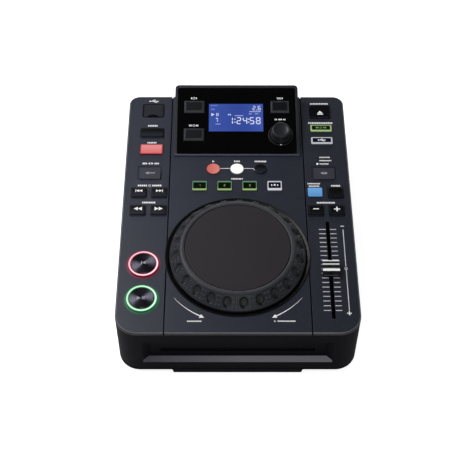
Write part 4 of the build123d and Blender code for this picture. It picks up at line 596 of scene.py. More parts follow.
def figure(x, y, height, number, line=0.12):
    """A seven-segment figure."""
    stroke, width = height * line, height * 0.56
    across, tall = width - 1.3 * stroke, height / 2 - 1.2 * stroke
    out, up, top = (width - stroke) / 2, height / 4 - stroke / 8, (height - stroke) / 2
    spots = {
        "a": (0, top), "g": (0, 0), "d": (0, -top),
        "b": (out, up), "c": (out, -up), "f": (-out, up), "e": (-out, -up),
    }
    shapes = []
    for name in SEGMENTS[number]:
        u, v = spots[name]
        shapes += bar(x + u, y + v, *((across, stroke) if name in "agd" else (stroke, tall)))
    return shapes


# The plain symbols of players, one unit high.
DISC = band(0, 0, 0.425, 0.13)
BOTH_WAYS = point_to(-0.6, 0, 0.8, 1, 180) + point_to(0.6, 0, 0.8, 1)
SYMBOLS = {
    "right": point_to(0, 0, 0.9, 1),
    "arrow_left": point_to(-0.9, 0, 0.9, 1, 180) + bar(0.45, 0, 1.7, 0.3),
    "back": point_to(-0.45, 0, 0.9, 1, 180) + point_to(0.45, 0, 0.9, 1, 180),
    "forward": point_to(-0.45, 0, 0.9, 1) + point_to(0.45, 0, 0.9, 1),
    "skip_back": point_to(-0.33, 0, 0.9, 1, 180) + point_to(0.57, 0, 0.9, 1, 180) + bar(-0.9, 0, 0.22, 1),
    "skip_forward": point_to(-0.57, 0, 0.9, 1) + point_to(0.33, 0, 0.9, 1) + bar(0.9, 0, 0.22, 1),
    "to_cue": point_to(0.15, 0, 0.9, 1, 180) + bar(-0.5, 0, 0.2, 1),
    "play_pause": point_to(-0.75, 0, 0.9, 1) + bar(0.3, 0, 0.2, 1) + bar(0.72, 0, 0.2, 1),
    "eject": point_to(0, 0.14, 0.66, 1, 90) + bar(0, -0.38, 1, 0.18),
    "minus": bar(0, 0, 1, 0.22),
    "plus": bar(0, 0, 1, 0.22) + bar(0, 0.305, 0.22, 0.39) + bar(0, -0.305, 0.22, 0.39),
    "both": BOTH_WAYS,
    "turn": BOTH_WAYS + dot(0, 0, 0.2, 12),
    "disc": DISC + dot(0, 0, 0.12),
    "clock": DISC + bar(0, 0.14, 0.1, 0.34) + bar(0.12, 0, 0.24, 0.1),
    "loop": band(0, 0, 0.4, 0.15, 60, 370) + point_to(0.18, 0.4, 0.4, 0.44, 20),
    "list": bar(0, -0.36, 1.3, 0.18) + bar(0, 0, 1.3, 0.18) + bar(0, 0.36, 1.3, 0.18),
    "marker": [[(-0.3, -0.5), (0, -0.2), (0.3, -0.5), (0.3, 0.5), (-0.3, 0.5)]],
    "on": bar(0, 0, 0.16, 1),
    "off": band(0, 0, 0.425, 0.15),
    "usb": (
        dot(-1, 0, 0.2, 16) + bar(0, 0, 1.7, 0.17) + point_to(1, 0, 0.4, 0.4)
        + bar(-0.35, 0.18, 0.54, 0.17, 42) + bar(0, 0.36, 0.34, 0.17) + bar(0.23, 0.36, 0.26, 0.26)
        + bar(0.05, -0.18, 0.54, 0.17, -42) + bar(0.4, -0.36, 0.34, 0.17) + dot(0.63, -0.36, 0.15, 12)
    ),
}


def symbol(kind, x, y, size):
    """One of the plain symbols, at a place and a size."""
    return [[(x + u * size, y + v * size) for u, v in shape] for shape in SYMBOLS[kind]]


def caption(x, y, width, height, kind=None, reach=1.0):
    """A row of plain dashes as wide as a caption, round a symbol."""
    gap = (1.1 * reach * height + 0.5) if kind else 0.0
    shapes = symbol(kind, x, y, height) if kind else []
    half = width / 2 - gap
    if half <= 0.6:
        return shapes
    count = max(1, round(half / (0.62 * height)))
    pitch = half / count
    for side in (-1, 1):
        for i in range(count):
            shapes += bar(x + side * (gap + (i + 0.5) * pitch), y, 0.74 * pitch, 0.74 * height)
    return shapes


def drawn(draw, *rows):
    """The shapes that a drawing function makes of each row of its values."""
    return [shape for row in rows for shape in draw(*row)]


# ---------------------------------------------------------------- geometry nodes
def plan_tree(name, **sizes):
    """Start a tree of geometry nodes with named inputs, and give its sockets by name."""
    tree = bpy.data.node_groups.new(name, "GeometryNodeTree")
    for label, kind in sizes.items():
        label = label.replace("_", " ").title()
        tree.interface.new_socket(label, in_out="INPUT", socket_type="NodeSocket" + kind)
    tree.interface.new_socket("Geometry", in_out="OUTPUT", socket_type="NodeSocketGeometry")
    return tree, dict(zip(sizes, add(tree, "NodeGroupInput").outputs))


def end_tree(tree, geometry, finish):
    """End a tree with real meshes and their material."""
    real = add(tree, "GeometryNodeRealizeInstances", {0: geometry})
    soft = add(tree, "GeometryNodeSetShadeSmooth", {"Geometry": real})
    done = add(tree, "GeometryNodeSetMaterial", {"Geometry": soft, "Material": finish})
    add(tree, "NodeGroupOutput", {0: done})
    return tree


def grown(name, tree, body, slot, **sizes):
    """Run a tree with these sizes, and keep the result as a plain mesh on a body."""
    made = bpy.data.objects.new(name, bpy.data.meshes.new(name + "_seed"))
    bpy.context.scene.collection.objects.link(made)
    modifier = made.modifiers.new("grown", "NODES")
    modifier.node_group = tree
    for item in tree.interface.items_tree:
        if item.item_type == "SOCKET" and item.in_out == "INPUT":
            modifier[item.identifier] = sizes[item.name.lower().replace(" ", "_")]
    bpy.context.view_layer.update()
    ready = made.evaluated_get(bpy.context.evaluated_depsgraph_get())
    mesh = bpy.data.meshes.new_from_object(ready)
    made.modifiers.clear()
    made.data = mesh
    if not mesh.polygons:
        raise RuntimeError(name + " came out empty")
    mesh.set_sharp_from_angle(angle=radians(40))
    return hang(made, body)


def marks_tree(finish):
    """Rows of equal marks beside a slot."""
    tree, given = plan_tree("scale_marks", marks="Int", pitch="Float", mark_size="Vector", start="Vector")
    step = add(tree, "ShaderNodeCombineXYZ", {1: given["pitch"]})
    row = add(
        tree, "GeometryNodeMeshLine", {"Count": given["marks"], "Start Location": given["start"], "Offset": step}
    )
    mark = add(tree, "GeometryNodeMeshCube", {"Size": given["mark_size"]})
    return end_tree(tree, add(tree, "GeometryNodeInstanceOnPoints", {"Points": row, "Instance": mark}), finish)


def bumps_tree(finish):
    """Clusters of small domes on a cone, one cluster between each two dimples."""
    tree, given = plan_tree(
        "grip_bumps", clusters="Int", radius="Float", height="Float", slope="Float",
        bump_radius="Float", pitch="Float", phase="Float", centre="Vector",
    )
    long = add(tree, "ShaderNodeMath", {0: given["pitch"], 1: 2.0}, operation="MULTIPLY")
    wide = add(tree, "ShaderNodeMath", {0: given["pitch"], 1: 0.62}, operation="MULTIPLY")
    patch = add(tree, "GeometryNodeMeshGrid", {"Size X": long, "Size Y": wide, "Vertices X": 3, "Vertices Y": 2})
    dome = add(tree, "GeometryNodeMeshIcoSphere", {"Radius": given["bump_radius"], "Subdivisions": 2})
    flat = add(tree, "GeometryNodeTransform", {"Geometry": dome, "Scale": (1.0, 1.0, 0.95)})
    domes = add(tree, "GeometryNodeInstanceOnPoints", {"Points": patch, "Instance": flat})
    solid = add(tree, "GeometryNodeRealizeInstances", {0: domes})
    tilt = add(tree, "ShaderNodeCombineXYZ", {1: given["slope"]})
    away = add(tree, "ShaderNodeCombineXYZ", {0: given["radius"], 2: given["height"]})
    cluster = add(tree, "GeometryNodeTransform", {"Geometry": solid, "Rotation": tilt, "Translation": away})
    ring = add(tree, "GeometryNodeMeshLine", {"Count": given["clusters"], "Offset": (0.0, 0.0, 0.0)})
    half = add(tree, "ShaderNodeMath", {0: add(tree, "GeometryNodeInputIndex"), 1: 0.5}, operation="ADD")
    share = add(tree, "ShaderNodeMath", {0: half, 1: given["clusters"]}, operation="DIVIDE")
    angle = add(tree, "ShaderNodeMath", {0: share, 1: 2 * pi, 2: given["phase"]}, operation="MULTIPLY_ADD")
    turn = add(tree, "ShaderNodeCombineXYZ", {2: angle})
    laid = add(tree, "GeometryNodeInstanceOnPoints", {"Points": ring, "Instance": cluster, "Rotation": turn})
    centred = add(tree, "GeometryNodeTransform", {"Geometry": laid, "Translation": given["centre"]})
    return end_tree(tree, centred, finish)


def crosses_tree(finish):
    """Cross recesses in screws that stand in a grid of 2 by 3."""
    tree, given = plan_tree("screw_crosses", across="Float", along="Float", arm_size="Vector", height="Float")
    grid = add(
        tree, "GeometryNodeMeshGrid",
        {"Size X": given["across"], "Size Y": given["along"], "Vertices X": 2, "Vertices Y": 3},
    )
    arm = add(tree, "GeometryNodeMeshCube", {"Size": given["arm_size"]})
    other = add(tree, "GeometryNodeTransform", {"Geometry": arm, "Rotation": (0.0, 0.0, pi / 2)})
    cross = add(tree, "GeometryNodeJoinGeometry", {0: [arm, other]})
    laid = add(tree, "GeometryNodeInstanceOnPoints", {"Points": grid, "Instance": cross})
    up = add(tree, "ShaderNodeCombineXYZ", {2: given["height"]})
    return end_tree(tree, add(tree, "GeometryNodeTransform", {"Geometry": laid, "Translation": up}), finish)


# ---------------------------------------------------------------- pieces
class PLAYER_OT_stage(bpy.types.Operator):
    """Lay the floor, and set the lamps, the world and the camera"""

    bl_idname = "player.stage"
    bl_label = "Stage"

    def execute(self, context):
        stage = context.scene.player_stage
        # Seamless paper: matt, with faint fibres. What the camera and mirrors see of
        # it is lifted to white, and shadows stay.
        paper, tree, shader, _ = mottled(
            "seamless_paper", 4.0, scaled(stage.floor_colour, 0.985), stage.floor_colour, Detail=4.0
        )
        rays = add(tree, "ShaderNodeLightPath").outputs
        seen = rays["Is Camera Ray"]
        for kind in ("Is Glossy Ray", "Is Transmission Ray"):
            seen = add(tree, "ShaderNodeMath", {0: seen, 1: rays[kind]}, operation="MAXIMUM")
        mirror = add(tree, "ShaderNodeMath", {0: seen, 1: 0.1}, operation="MULTIPLY")
        lift = {0: rays["Is Camera Ray"], 1: 0.7, 2: mirror}
        feed(shader, {
            "Roughness": 0.9, "Specular IOR Level": 0.1, "Emission Color": (1.0, 1.0, 1.0, 1.0),
            "Emission Strength": add(tree, "ShaderNodeMath", lift, operation="MULTIPLY_ADD"),
        })
        reach = 6.0
        mesh = bpy.data.meshes.new("floor")
        ends = [(-reach, -reach, 0), (reach, -reach, 0), (reach, reach, 0), (-reach, reach, 0)]
        mesh.from_pydata(ends, [], [(0, 1, 2, 3)])
        mesh.materials.append(paper)
        floor = bpy.data.objects.new("floor", mesh)
        context.scene.collection.objects.link(floor)

        # The room: white to the eye; pale low down and dim overhead to mirrors.
        world = bpy.data.worlds.new("studio")
        context.scene.world = world
        world.use_nodes = True
        tree = world.node_tree
        tree.nodes.clear()
        way = add(tree, "ShaderNodeSeparateXYZ", {0: add(tree, "ShaderNodeTexCoord").outputs["Generated"]})
        height = add(
            tree, "ShaderNodeMapRange",
            {"Value": way.outputs[2], "From Min": 0.05, "From Max": 0.6, "To Min": 0.65, "To Max": 0.05},
            interpolation_type="SMOOTHSTEP",
        )
        rays = add(tree, "ShaderNodeLightPath").outputs
        both = {0: rays["Is Glossy Ray"], 1: rays["Is Transmission Ray"]}
        mirror = add(tree, "ShaderNodeMath", both, operation="MAXIMUM")
        plain = add(tree, "ShaderNodeMix", {0: mirror, 2: stage.room, 3: height}, data_type="FLOAT")
        level = add(tree, "ShaderNodeMix", {0: rays["Is Camera Ray"], 2: plain, 3: 1.0}, data_type="FLOAT")
        light = add(tree, "ShaderNodeBackground", {"Color": (1.0, 1.0, 1.0, 1.0), "Strength": level})
        add(tree, "ShaderNodeOutputWorld", {"Surface": light})

        # Softboxes: power, place, what they face and size, in metres.
        for name, power, place, aim, (wide, tall) in (
            ("key_softbox", stage.key_power, (-0.55, 0.45, 0.95), (-0.05, 0, 0.05), (0.45, 0.45)),
            ("fill_softbox", stage.fill_power, (-0.6, -0.1, 0.55), (-0.05, 0, 0.05), (0.5, 0.5)),
            ("front_softbox", stage.front_power, (0.1, -1.75, 1.3), (0, 0, 0.05), (1.2, 0.5)),
            ("side_softbox", stage.side_power, (1.6, 0.5, 1.0), (0, 0, 0.05), (0.8, 0.8)),
            ("back_softbox", stage.back_power, (0.2, 2.0, 0.45), (0, 0, 0.05), (1.2, 0.5)),
        ):
            lamp = bpy.data.lights.new(name, "AREA")
            lamp.shape, lamp.size, lamp.size_y, lamp.energy = "RECTANGLE", wide, tall, power
            made = bpy.data.objects.new(name, lamp)
            context.scene.collection.objects.link(made)
            made.location = place
            made.rotation_euler = (Vector(aim) - Vector(place)).to_track_quat("-Z", "Y").to_euler()

        view = bpy.data.cameras.new("camera")
        view.lens, view.sensor_width = stage.lens, 36.0
        camera = bpy.data.objects.new("camera", view)
        context.scene.collection.objects.link(camera)
        pitch, yaw, roll = radians(52.98), radians(-0.42), radians(0.37)
        turn = Matrix.Rotation(yaw, 4, "Z") @ Matrix.Rotation(pi / 2 - pitch, 4, "X") @ Matrix.Rotation(roll, 4, "Z")
        camera.matrix_world = Matrix.Translation(Vector((-11.6, -658.5, 903.6)) * MM) @ turn
        context.scene.camera = camera
        context.scene.view_settings.view_transform = "Standard"
        return {"FINISHED"}


class PLAYER_OT_case(bpy.types.Operator):
    """Finish the case, its tray, feet and screws, and line the disc slot"""

    bl_idname = "player.case"
    bl_label = "Case"

    def execute(self, context):
        shell = context.scene.player_shell
        case = moulded("spark_eroded_abs", shell.case_colour, shell.soften / MM)
        # The recess's sill is painted lighter, a painted highlight, least at the left.
        tree, _, where, _ = reopen(case)
        place = add(tree, "ShaderNodeSeparateXYZ", {0: where})
        share = add(
            tree, "ShaderNodeMapRange", {"Value": place.outputs[0], "From Min": -80 * MM, "From Max": 10 * MM}
        )
        painted_sill_highlight = add(tree, "ShaderNodeMix", {0: share, 6: linear("676670"), 7: linear("8F8E96")}, data_type="RGBA")
        dress(patched(case, painted_sill_highlight, X=(-86.4, 86.4), Y=(-144.3, -138.0), Z=(20.4, 23.7)), "case_shell")
        dress(moulded("powder_coated_steel"), "base_tray")
        dress(moulded("nitrile_rubber"), "feet")
        # Zinc-plated steel: pale, with a faint spangle.
        dress(metal("zinc_plated_steel", "B9BBC0", 0.3, 1.5), "case_screws")
        low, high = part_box("case_screws")
        head = 3.2 * MM
        grown(
            "screw_crosses", crosses_tree(moulded("screw_recess")), "case", "zinc_steel",
            across=high.x - low.x - 2 * head, along=high.y - low.y - 2 * head,
            arm_size=(3.6 * MM, 0.8 * MM, 0.1 * MM), height=low.z + 0.02 * MM,
        )

        # Felt lips in the slot keep dust out: dark grey wool, thicker in the middle.
        felt, tree, shader, wool = mottled("wool_felt", 0.9, "030304", "121214", Detail=6.0)
        bump = add(tree, "ShaderNodeBump", {"Distance": 0.15 * MM, "Height": wool})
        feed(shader, {"Normal": bump, "Roughness": 0.95, "Sheen Weight": 0.25, "Specular IOR Level": 0.1})
        steps, half, root = 60, 70.3, 2.8
        points, faces = [], []
        for side in (-1, 1):
            start = len(points)
            for step in range(steps + 1):
                x = -half + 2 * half * step / steps
                swell = 0.9 * max(0.0, 1 - (x / 62) ** 2)
                edge = 1.25 - swell * 0.5
                section = (
                    (-134.9, root), (-136.4, root), (-136.9 - swell * 0.4, (edge + root) / 2),
                    (-136.5, edge + 0.3), (-135.9, edge), (-135.1, edge + 0.3),
                )
                points += [Vector((x, y, SLOT_Z + side * z)) * MM for y, z in section]
            sides = len(section)
            for step in range(steps):
                for k in range(sides):
                    a, b = (start + step * sides + i % sides for i in (k, k + 1))
                    faces.append((a, b, b + sides, a + sides))
            faces += [[end + k for k in range(sides)] for end in (start, start + steps * sides)]
        make_piece("slot_felt", points, faces, felt, "case", smooth=60)
        return {"FINISHED"}


class PLAYER_OT_deck(bpy.types.Operator):
    """Paint the deck plates and print their marks"""

    bl_idname = "player.deck"
    bl_label = "Deck"

    def execute(self, context):
        shell = context.scene.player_shell
        paint = moulded("satin_paint", shell.deck_colour, shell.soften / MM)
        # The paint is made darker towards the right, a painted shade. Its bevel faces are painted paler, a painted
        # highlight, and from the lower half of the bevel down the plates are painted near black, which on the bevel
        # is a painted shade.
        tree, shader, where, skin = reopen(paint)
        way = add(tree, "ShaderNodeSeparateXYZ", {0: add(tree, "ShaderNodeTexCoord").outputs["Normal"]})
        tilted = add(tree, "ShaderNodeMath", {0: way.outputs[2], 1: 0.7, 2: 0.15}, operation="COMPARE")
        across = add(tree, "ShaderNodeSeparateXYZ", {0: where}).outputs[0]
        painted_shade_ramp = add(
            tree, "ShaderNodeMapRange",
            {"Value": across, "From Min": -70 * MM, "From Max": 100 * MM, "To Min": 0.97, "To Max": 0.68},
        )
        skin = add(tree, "ShaderNodeMix", {0: 1.0, 6: skin, 7: painted_shade_ramp}, data_type="RGBA", blend_type="MULTIPLY")
        painted_bevel_highlight = add(tree, "ShaderNodeMix", {0: tilted, 6: skin, 7: linear("74767E")}, data_type="RGBA")
        feed(shader, {"Base Color": painted_bevel_highlight})
        patched(paint, linear("09090B"), Z=(DECK - 8, DECK - 0.62))
        dress(paint, "deck_left", "deck_centre", "deck_right")

        # The ink is given a faint glow, painted light that makes it read whiter.
        ink = moulded("screen_ink", shell.print_colour)
        feed(reopen(ink)[1], {"Emission Color": (1.0, 1.0, 1.0, 1.0), "Emission Strength": 0.2})
        # Captions: across, along, width, height, the symbol in it and the room it takes.
        prints = drawn(
            caption,
            (LEFT_X, 102.5, 10.0, 2.6), (LEFT_X, 79.6, 9.5, 2.4), (LEFT_X, 52.4, 16.5, 2.8, "both"),
            (LEFT_X, 24.3, 23.3, 2.8, "disc", 0.6), (LEFT_X, 3.2, 13.0, 2.7),
            (84.9, 133.2, 18.6, 2.6), (RIGHT_X, 106.5, 24.9, 2.8), (74.7, 26.8, 12.4, 2.2), (74.7, 23.6, 10.4, 2.2),
            (95.8, 24.1, 9.0, 2.6), (RIGHT_X, 3.1, 17.7, 2.5),
            (86.9, 60.5, 10.6, 1.9), (87.6, 56.3, 12.0, 1.9), (86.1, 52.0, 9.0, 1.9),
            (-23.2, 55.2, 3.0, 2.5, "right"), (0, 55.2, 6.0, 2.5), (23.2, 55.2, 11.8, 2.5), (0, 32.8, 11.7, 2.3),
            (-39.0, -131.2, 13.0, 1.7), (43.0, -131.1, 16.0, 1.7),
        )
        prints += drawn(
            symbol, ("usb", -84.9, 136.7, 4.2), ("plus", 99.5, -122.7, 4.2), ("minus", 99.1, -25.2, 3.4),
            ("plus", 32.6, -131.1, 2.0),
        )
        # The line that joins the three loop keys, and its hook at the last.
        prints += drawn(bar, (-11.6, 46.1, 9.4, 0.6), (11.6, 46.1, 9.4, 0.6), (17.4, 44.1, 4.8, 0.6, -57))
        # Arrows round the wheel, for turning it back and on.
        for side in (-1, 1):
            prints += band(0, JOG_Y, ARROW_R, 1.05, 270 - side * 51, 270 - side * 27, 28, 0.15)
            tip = 270 - side * 25.5
            prints += point_to(*on_circle(0, JOG_Y, ARROW_R, radians(tip)), 4.2, 4.1, tip + side * 90)
        raised("deck_prints", prints, on_deck, ink, "case")

        # Black rims round the USB cover and the dark keys: painted shade in the gaps, drawn wider than the gaps are.
        edges = rim_of(LEFT_X, 123.3, 22.5, 19.2, 1.1, 2.6)
        for key in (
            "single", "track_back", "track_forward", "search_back", "search_forward", "pitch_range", "bend_down",
            "bend_up",
        ):
            low, high = (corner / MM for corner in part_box("btn_" + key))
            x, y, _ = middle("btn_" + key)
            edges += rim_of(x, y, high.x - low.x + 1.5, high.y - low.y + 1.5, 0.7, 1.2)
        raised("bare_edges", edges, on_deck, moulded("bare_abs_edge"), "case", high=0.03)

        # The fader's scale: a line with a ring at its middle, and two rows of marks.
        thin_ink = moulded("thin_screen_ink")
        line = drawn(bar, (LINE_X, -50.4, 0.75, 42.6), (LINE_X, -97.7, 0.75, 44.6)) + band(LINE_X, -74.1, 1.1, 0.75)
        raised("pitch_line", line, on_deck, thin_ink, "case")
        scale = context.scene.player_fader
        first = (FADER_MID - 0.2) * MM - scale.pitch * (scale.marks - 1) / 2
        for name, low, high in (("scale_left", 76.9, 83.2), ("scale_right", 87.4, 93.2)):
            grown(
                name, marks_tree(thin_ink), "case", "key_white", marks=scale.marks, pitch=scale.pitch,
                mark_size=((high - low) * MM, scale.mark_width, 0.06 * MM),
                start=((low + high) / 2 * MM, first, (DECK + 0.02) * MM),
            )
        # Mode lamps: small clear domes of polycarbonate, the last one lit. The two that are off still glow faintly,
        # which is painted light.
        dome = [(0, 0.75), (0.5, 0.66), (0.85, 0.4), (1.0, 0.0), (0, 0.0)]
        for name, y, code, strength in (
            ("mode_lamp_1", 60.5, "3A3D48", 0.25), ("mode_lamp_2", 56.3, "3A3D48", 0.25),
            ("mode_lamp_3", 52.0, "F2F4FF", 1.0),
        ):
            lens = glowing(name.replace("mode", "led"), code, strength)
            turned(name, dome, (79.4, y), on_deck, lens, "case", 24)
        return {"FINISHED"}


def near_ring(tree, where):
    """Colour of the nearer ring's lamp, the way from that ring's middle, and how far it is."""
    lights = bpy.context.scene.player_lights
    parts = add(tree, "ShaderNodeSeparateXYZ", {0: where})
    halfway = (CUE_Y + PLAY_Y) / 2 * MM
    first = add(tree, "ShaderNodeMath", {0: parts.outputs[1], 1: halfway}, operation="GREATER_THAN")
    lamp = add(
        tree, "ShaderNodeMix", {0: first, 6: tuple(lights.play_ring), 7: tuple(lights.cue_ring)}, data_type="RGBA"
    )
    centre_y = add(tree, "ShaderNodeMix", {0: first, 2: PLAY_Y * MM, 3: CUE_Y * MM}, data_type="FLOAT")
    dx = add(tree, "ShaderNodeMath", {0: parts.outputs[0], 1: -RING_X * MM}, operation="ADD")
    dy = add(tree, "ShaderNodeMath", {0: parts.outputs[1], 1: centre_y}, operation="SUBTRACT")
    flat = add(tree, "ShaderNodeCombineXYZ", {0: dx, 1: dy})
    return lamp, flat, add(tree, "ShaderNodeVectorMath", {0: flat}, operation="LENGTH")


class PLAYER_OT_rings(bpy.types.Operator):
    """Light the rings round the cue and play keys"""

    bl_idname = "player.rings"
    bl_label = "Light rings"

    def execute(self, context):
        # Clear polycarbonate light guide, lit from below: white where it is thick, and
        # the lamp's colour at its edges. One node holds both rings, so y tells which.
        guide, tree, shader, where = start_finish("polycarbonate_light_guide")
        lamp, flat, radius = near_ring(tree, where)
        off = add(tree, "ShaderNodeMath", {0: radius, 1: 12.9 * MM}, operation="SUBTRACT")
        far = add(tree, "ShaderNodeMath", {0: off}, operation="ABSOLUTE")
        core, power = (
            add(
                tree, "ShaderNodeMapRange",
                {"Value": far, "From Min": near * MM, "From Max": end * MM, "To Min": full, "To Max": least},
                interpolation_type="SMOOTHSTEP",
            )
            for near, end, full, least in ((0.2, 1.15, 0.85, 0.0), (0.5, 1.4, 1.05, 0.08))
        )
        # The ring is painted palest at the right of the front: a painted highlight.
        near = add(tree, "ShaderNodeVectorMath", {0: flat, 1: (0.9, -0.44, 0.0)}, operation="DOT_PRODUCT")
        side = add(
            tree, "ShaderNodeMapRange",
            {"Value": near, "From Min": -13 * MM, "From Max": 13 * MM, "To Min": 0.7, "To Max": 1.1},
        )
        pale = add(tree, "ShaderNodeMath", {0: core, 1: side}, operation="MULTIPLY")
        light = add(tree, "ShaderNodeMix", {0: pale, 6: lamp, 7: (1.0, 1.0, 1.0, 1.0)}, data_type="RGBA")
        shade = add(tree, "ShaderNodeMix", {0: 0.9, 6: lamp, 7: (0.0, 0.0, 0.0, 1.0)}, data_type="RGBA")
        feed(shader, {"Emission Color": light, "Emission Strength": power, "Base Color": shade, "Roughness": 0.25})
        dress(guide, "light_rings")

        # A painted glow in the rings' colours lies on the paint beside them: painted light.
        tree, shader, where, _ = reopen(bpy.data.materials["satin_paint"])
        lamp, _, radius = near_ring(tree, where)
        painted_ring_glow = add(
            tree, "ShaderNodeMapRange",
            {"Value": radius, "From Min": 14.3 * MM, "From Max": 16.8 * MM, "To Min": 0.2, "To Max": 0.0},
            interpolation_type="SMOOTHSTEP",
        )
        feed(shader, {"Emission Color": lamp, "Emission Strength": painted_ring_glow})
        return {"FINISHED"}


class PLAYER_OT_wheel(bpy.types.Operator):
    """Finish the jog wheel, its plate and its bezel, and set its grip bumps"""

    bl_idname = "player.wheel"
    bl_label = "Jog wheel"

    def execute(self, context):
        wheel = context.scene.player_wheel
        # The rim's top is painted paler, a painted highlight, and the dimples are painted darker, a painted shade.
        grip = patched(
            moulded("soft_touch_elastomer", wheel.wheel_colour), linear("3E3F46"), Z=(JOG_TOP - 0.35, JOG_TOP + 1)
        )
        # The dimples are painted darker: a painted shade.
        tree, shader, _, skin = reopen(grip)
        painted_hollow_shade = add(tree, "ShaderNodeAttribute", attribute_name="painted_hollow_shade").outputs["Fac"]
        painted_dimple_shade_mix = {0: painted_hollow_shade, 6: skin, 7: scaled(wheel.wheel_colour, 0.25)}
        feed(shader, {"Base Color": add(tree, "ShaderNodeMix", painted_dimple_shade_mix, data_type="RGBA")})

        # The wheel: a lathe shape whose cone has oval dimples with soft shoulders.
        edge, rim = Vector((63.2, 2.4)), Vector((52.8, 14.1))
        cone_length = (rim - edge).length
        slope = atan2(rim.y - edge.y, edge.x - rim.x)
        half_wide, half_long = wheel.dimple_width / MM / 2, wheel.dimple_length / MM / 2
        pitch = 2 * pi / wheel.dimples

        def pressed(radius, height, angle):
            """Move in and down, and painted shade, of a place on the cone."""
            along = ((edge.x - radius) * cos(slope) + (height - edge.y) * sin(slope)) - cone_length / 2
            off_cone = (edge.x - radius) * sin(slope) - (height - edge.y) * cos(slope)
            turn = (angle - wheel.phase + pitch / 2) % pitch - pitch / 2
            reach = ((turn * radius / half_wide) ** 2 + (along / half_long) ** 2) ** 0.5
            if abs(off_cone) > 0.4 or abs(along) > cone_length / 2 or reach >= 1.15:
                return 0.0, 0.0, 0.0
            deep = wheel.dimple_depth / MM * max(0.0, 1 - reach**3) ** 0.6
            wall = max(0.0, 1 - abs(reach - 0.88) / 0.26)
            return deep * sin(slope), deep * cos(slope), 0.7 * wall + 0.3 * (reach < 0.88)

        rows = 38
        outline = [
            (0, 11.6), (49.0, 11.6), (49.0, 13.9), (49.2, 14.1), (51.2, 14.1), (52.0, 14.02), (52.7, 13.76),
            (53.37, 13.34),
        ]
        outline += [tuple(rim.lerp(edge, (k + 0.5) / rows)) for k in range(4, rows)]
        outline += [
            (63.2, 2.1), (63.15, 1.2), (62.9, 0.9), (62.0, 0.9), (62.0, -2.5), (60.4, -2.5), (60.4, 2.4), (51.2, 8.6),
            (35.5, 8.6), (35.5, -2.5), (34.0, -2.5), (34.0, 8.6), (9.0, 8.6), (9.0, -5.7), (4.05, -5.7), (4.05, 8.6),
            (0, 8.6),
        ]
        hub, steps = (0, JOG_Y), 28 * wheel.dimples
        cone = turned("wheel_grip", outline, hub, on_deck, grip, "jog", steps, 45, pressed)
        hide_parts("jog_wheel")
        dress(grip, "jog_wheel")
        dress(moulded("satin_film", wheel.plate_colour), "jog_plate")
        # Turned steel: fine marks round its axis.
        dress(metal("turned_steel", "8E9096", 0.3, 0.8), "jog_bearing")

        # The bezel falls like a funnel towards the wheel.
        gloss = moulded("polished_abs")
        outline = [
            (64.2, -6.0), (64.2, 0.0), (67.3, 0.0), (67.5, 0.15), (67.5, 0.6), (67.4, 0.78), (67.2, 0.86),
            (66.9, 0.82), (66.3, 0.66), (65.6, 0.44), (64.9, 0.22), (64.4, 0.04), (64.1, -0.2), (63.8, -0.7),
            (63.5, -1.4), (63.2, -2.4), (63.0, -4.0), (30.0, -4.0), (30.0, -6.0),
        ]
        bezel = turned("bezel_ring", outline, hub, on_deck, gloss, "case", 192, 50)
        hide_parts("jog_bezel")
        dress(gloss, "jog_bezel")
        half_way = (rim + edge) / 2
        # The bumps are painted paler than the cone: a painted highlight.
        grown(
            "grip_bumps", bumps_tree(moulded("rubbed_elastomer", scaled(wheel.wheel_colour, 2.1))),
            "jog", "wheel_grey",
            clusters=wheel.dimples, radius=half_way.x * MM, height=(DECK + half_way.y) * MM, slope=slope,
            bump_radius=wheel.bump_radius, pitch=wheel.bump_pitch, phase=wheel.phase, centre=(0.0, JOG_Y * MM, 0.0),
        )
        return {"FINISHED"}


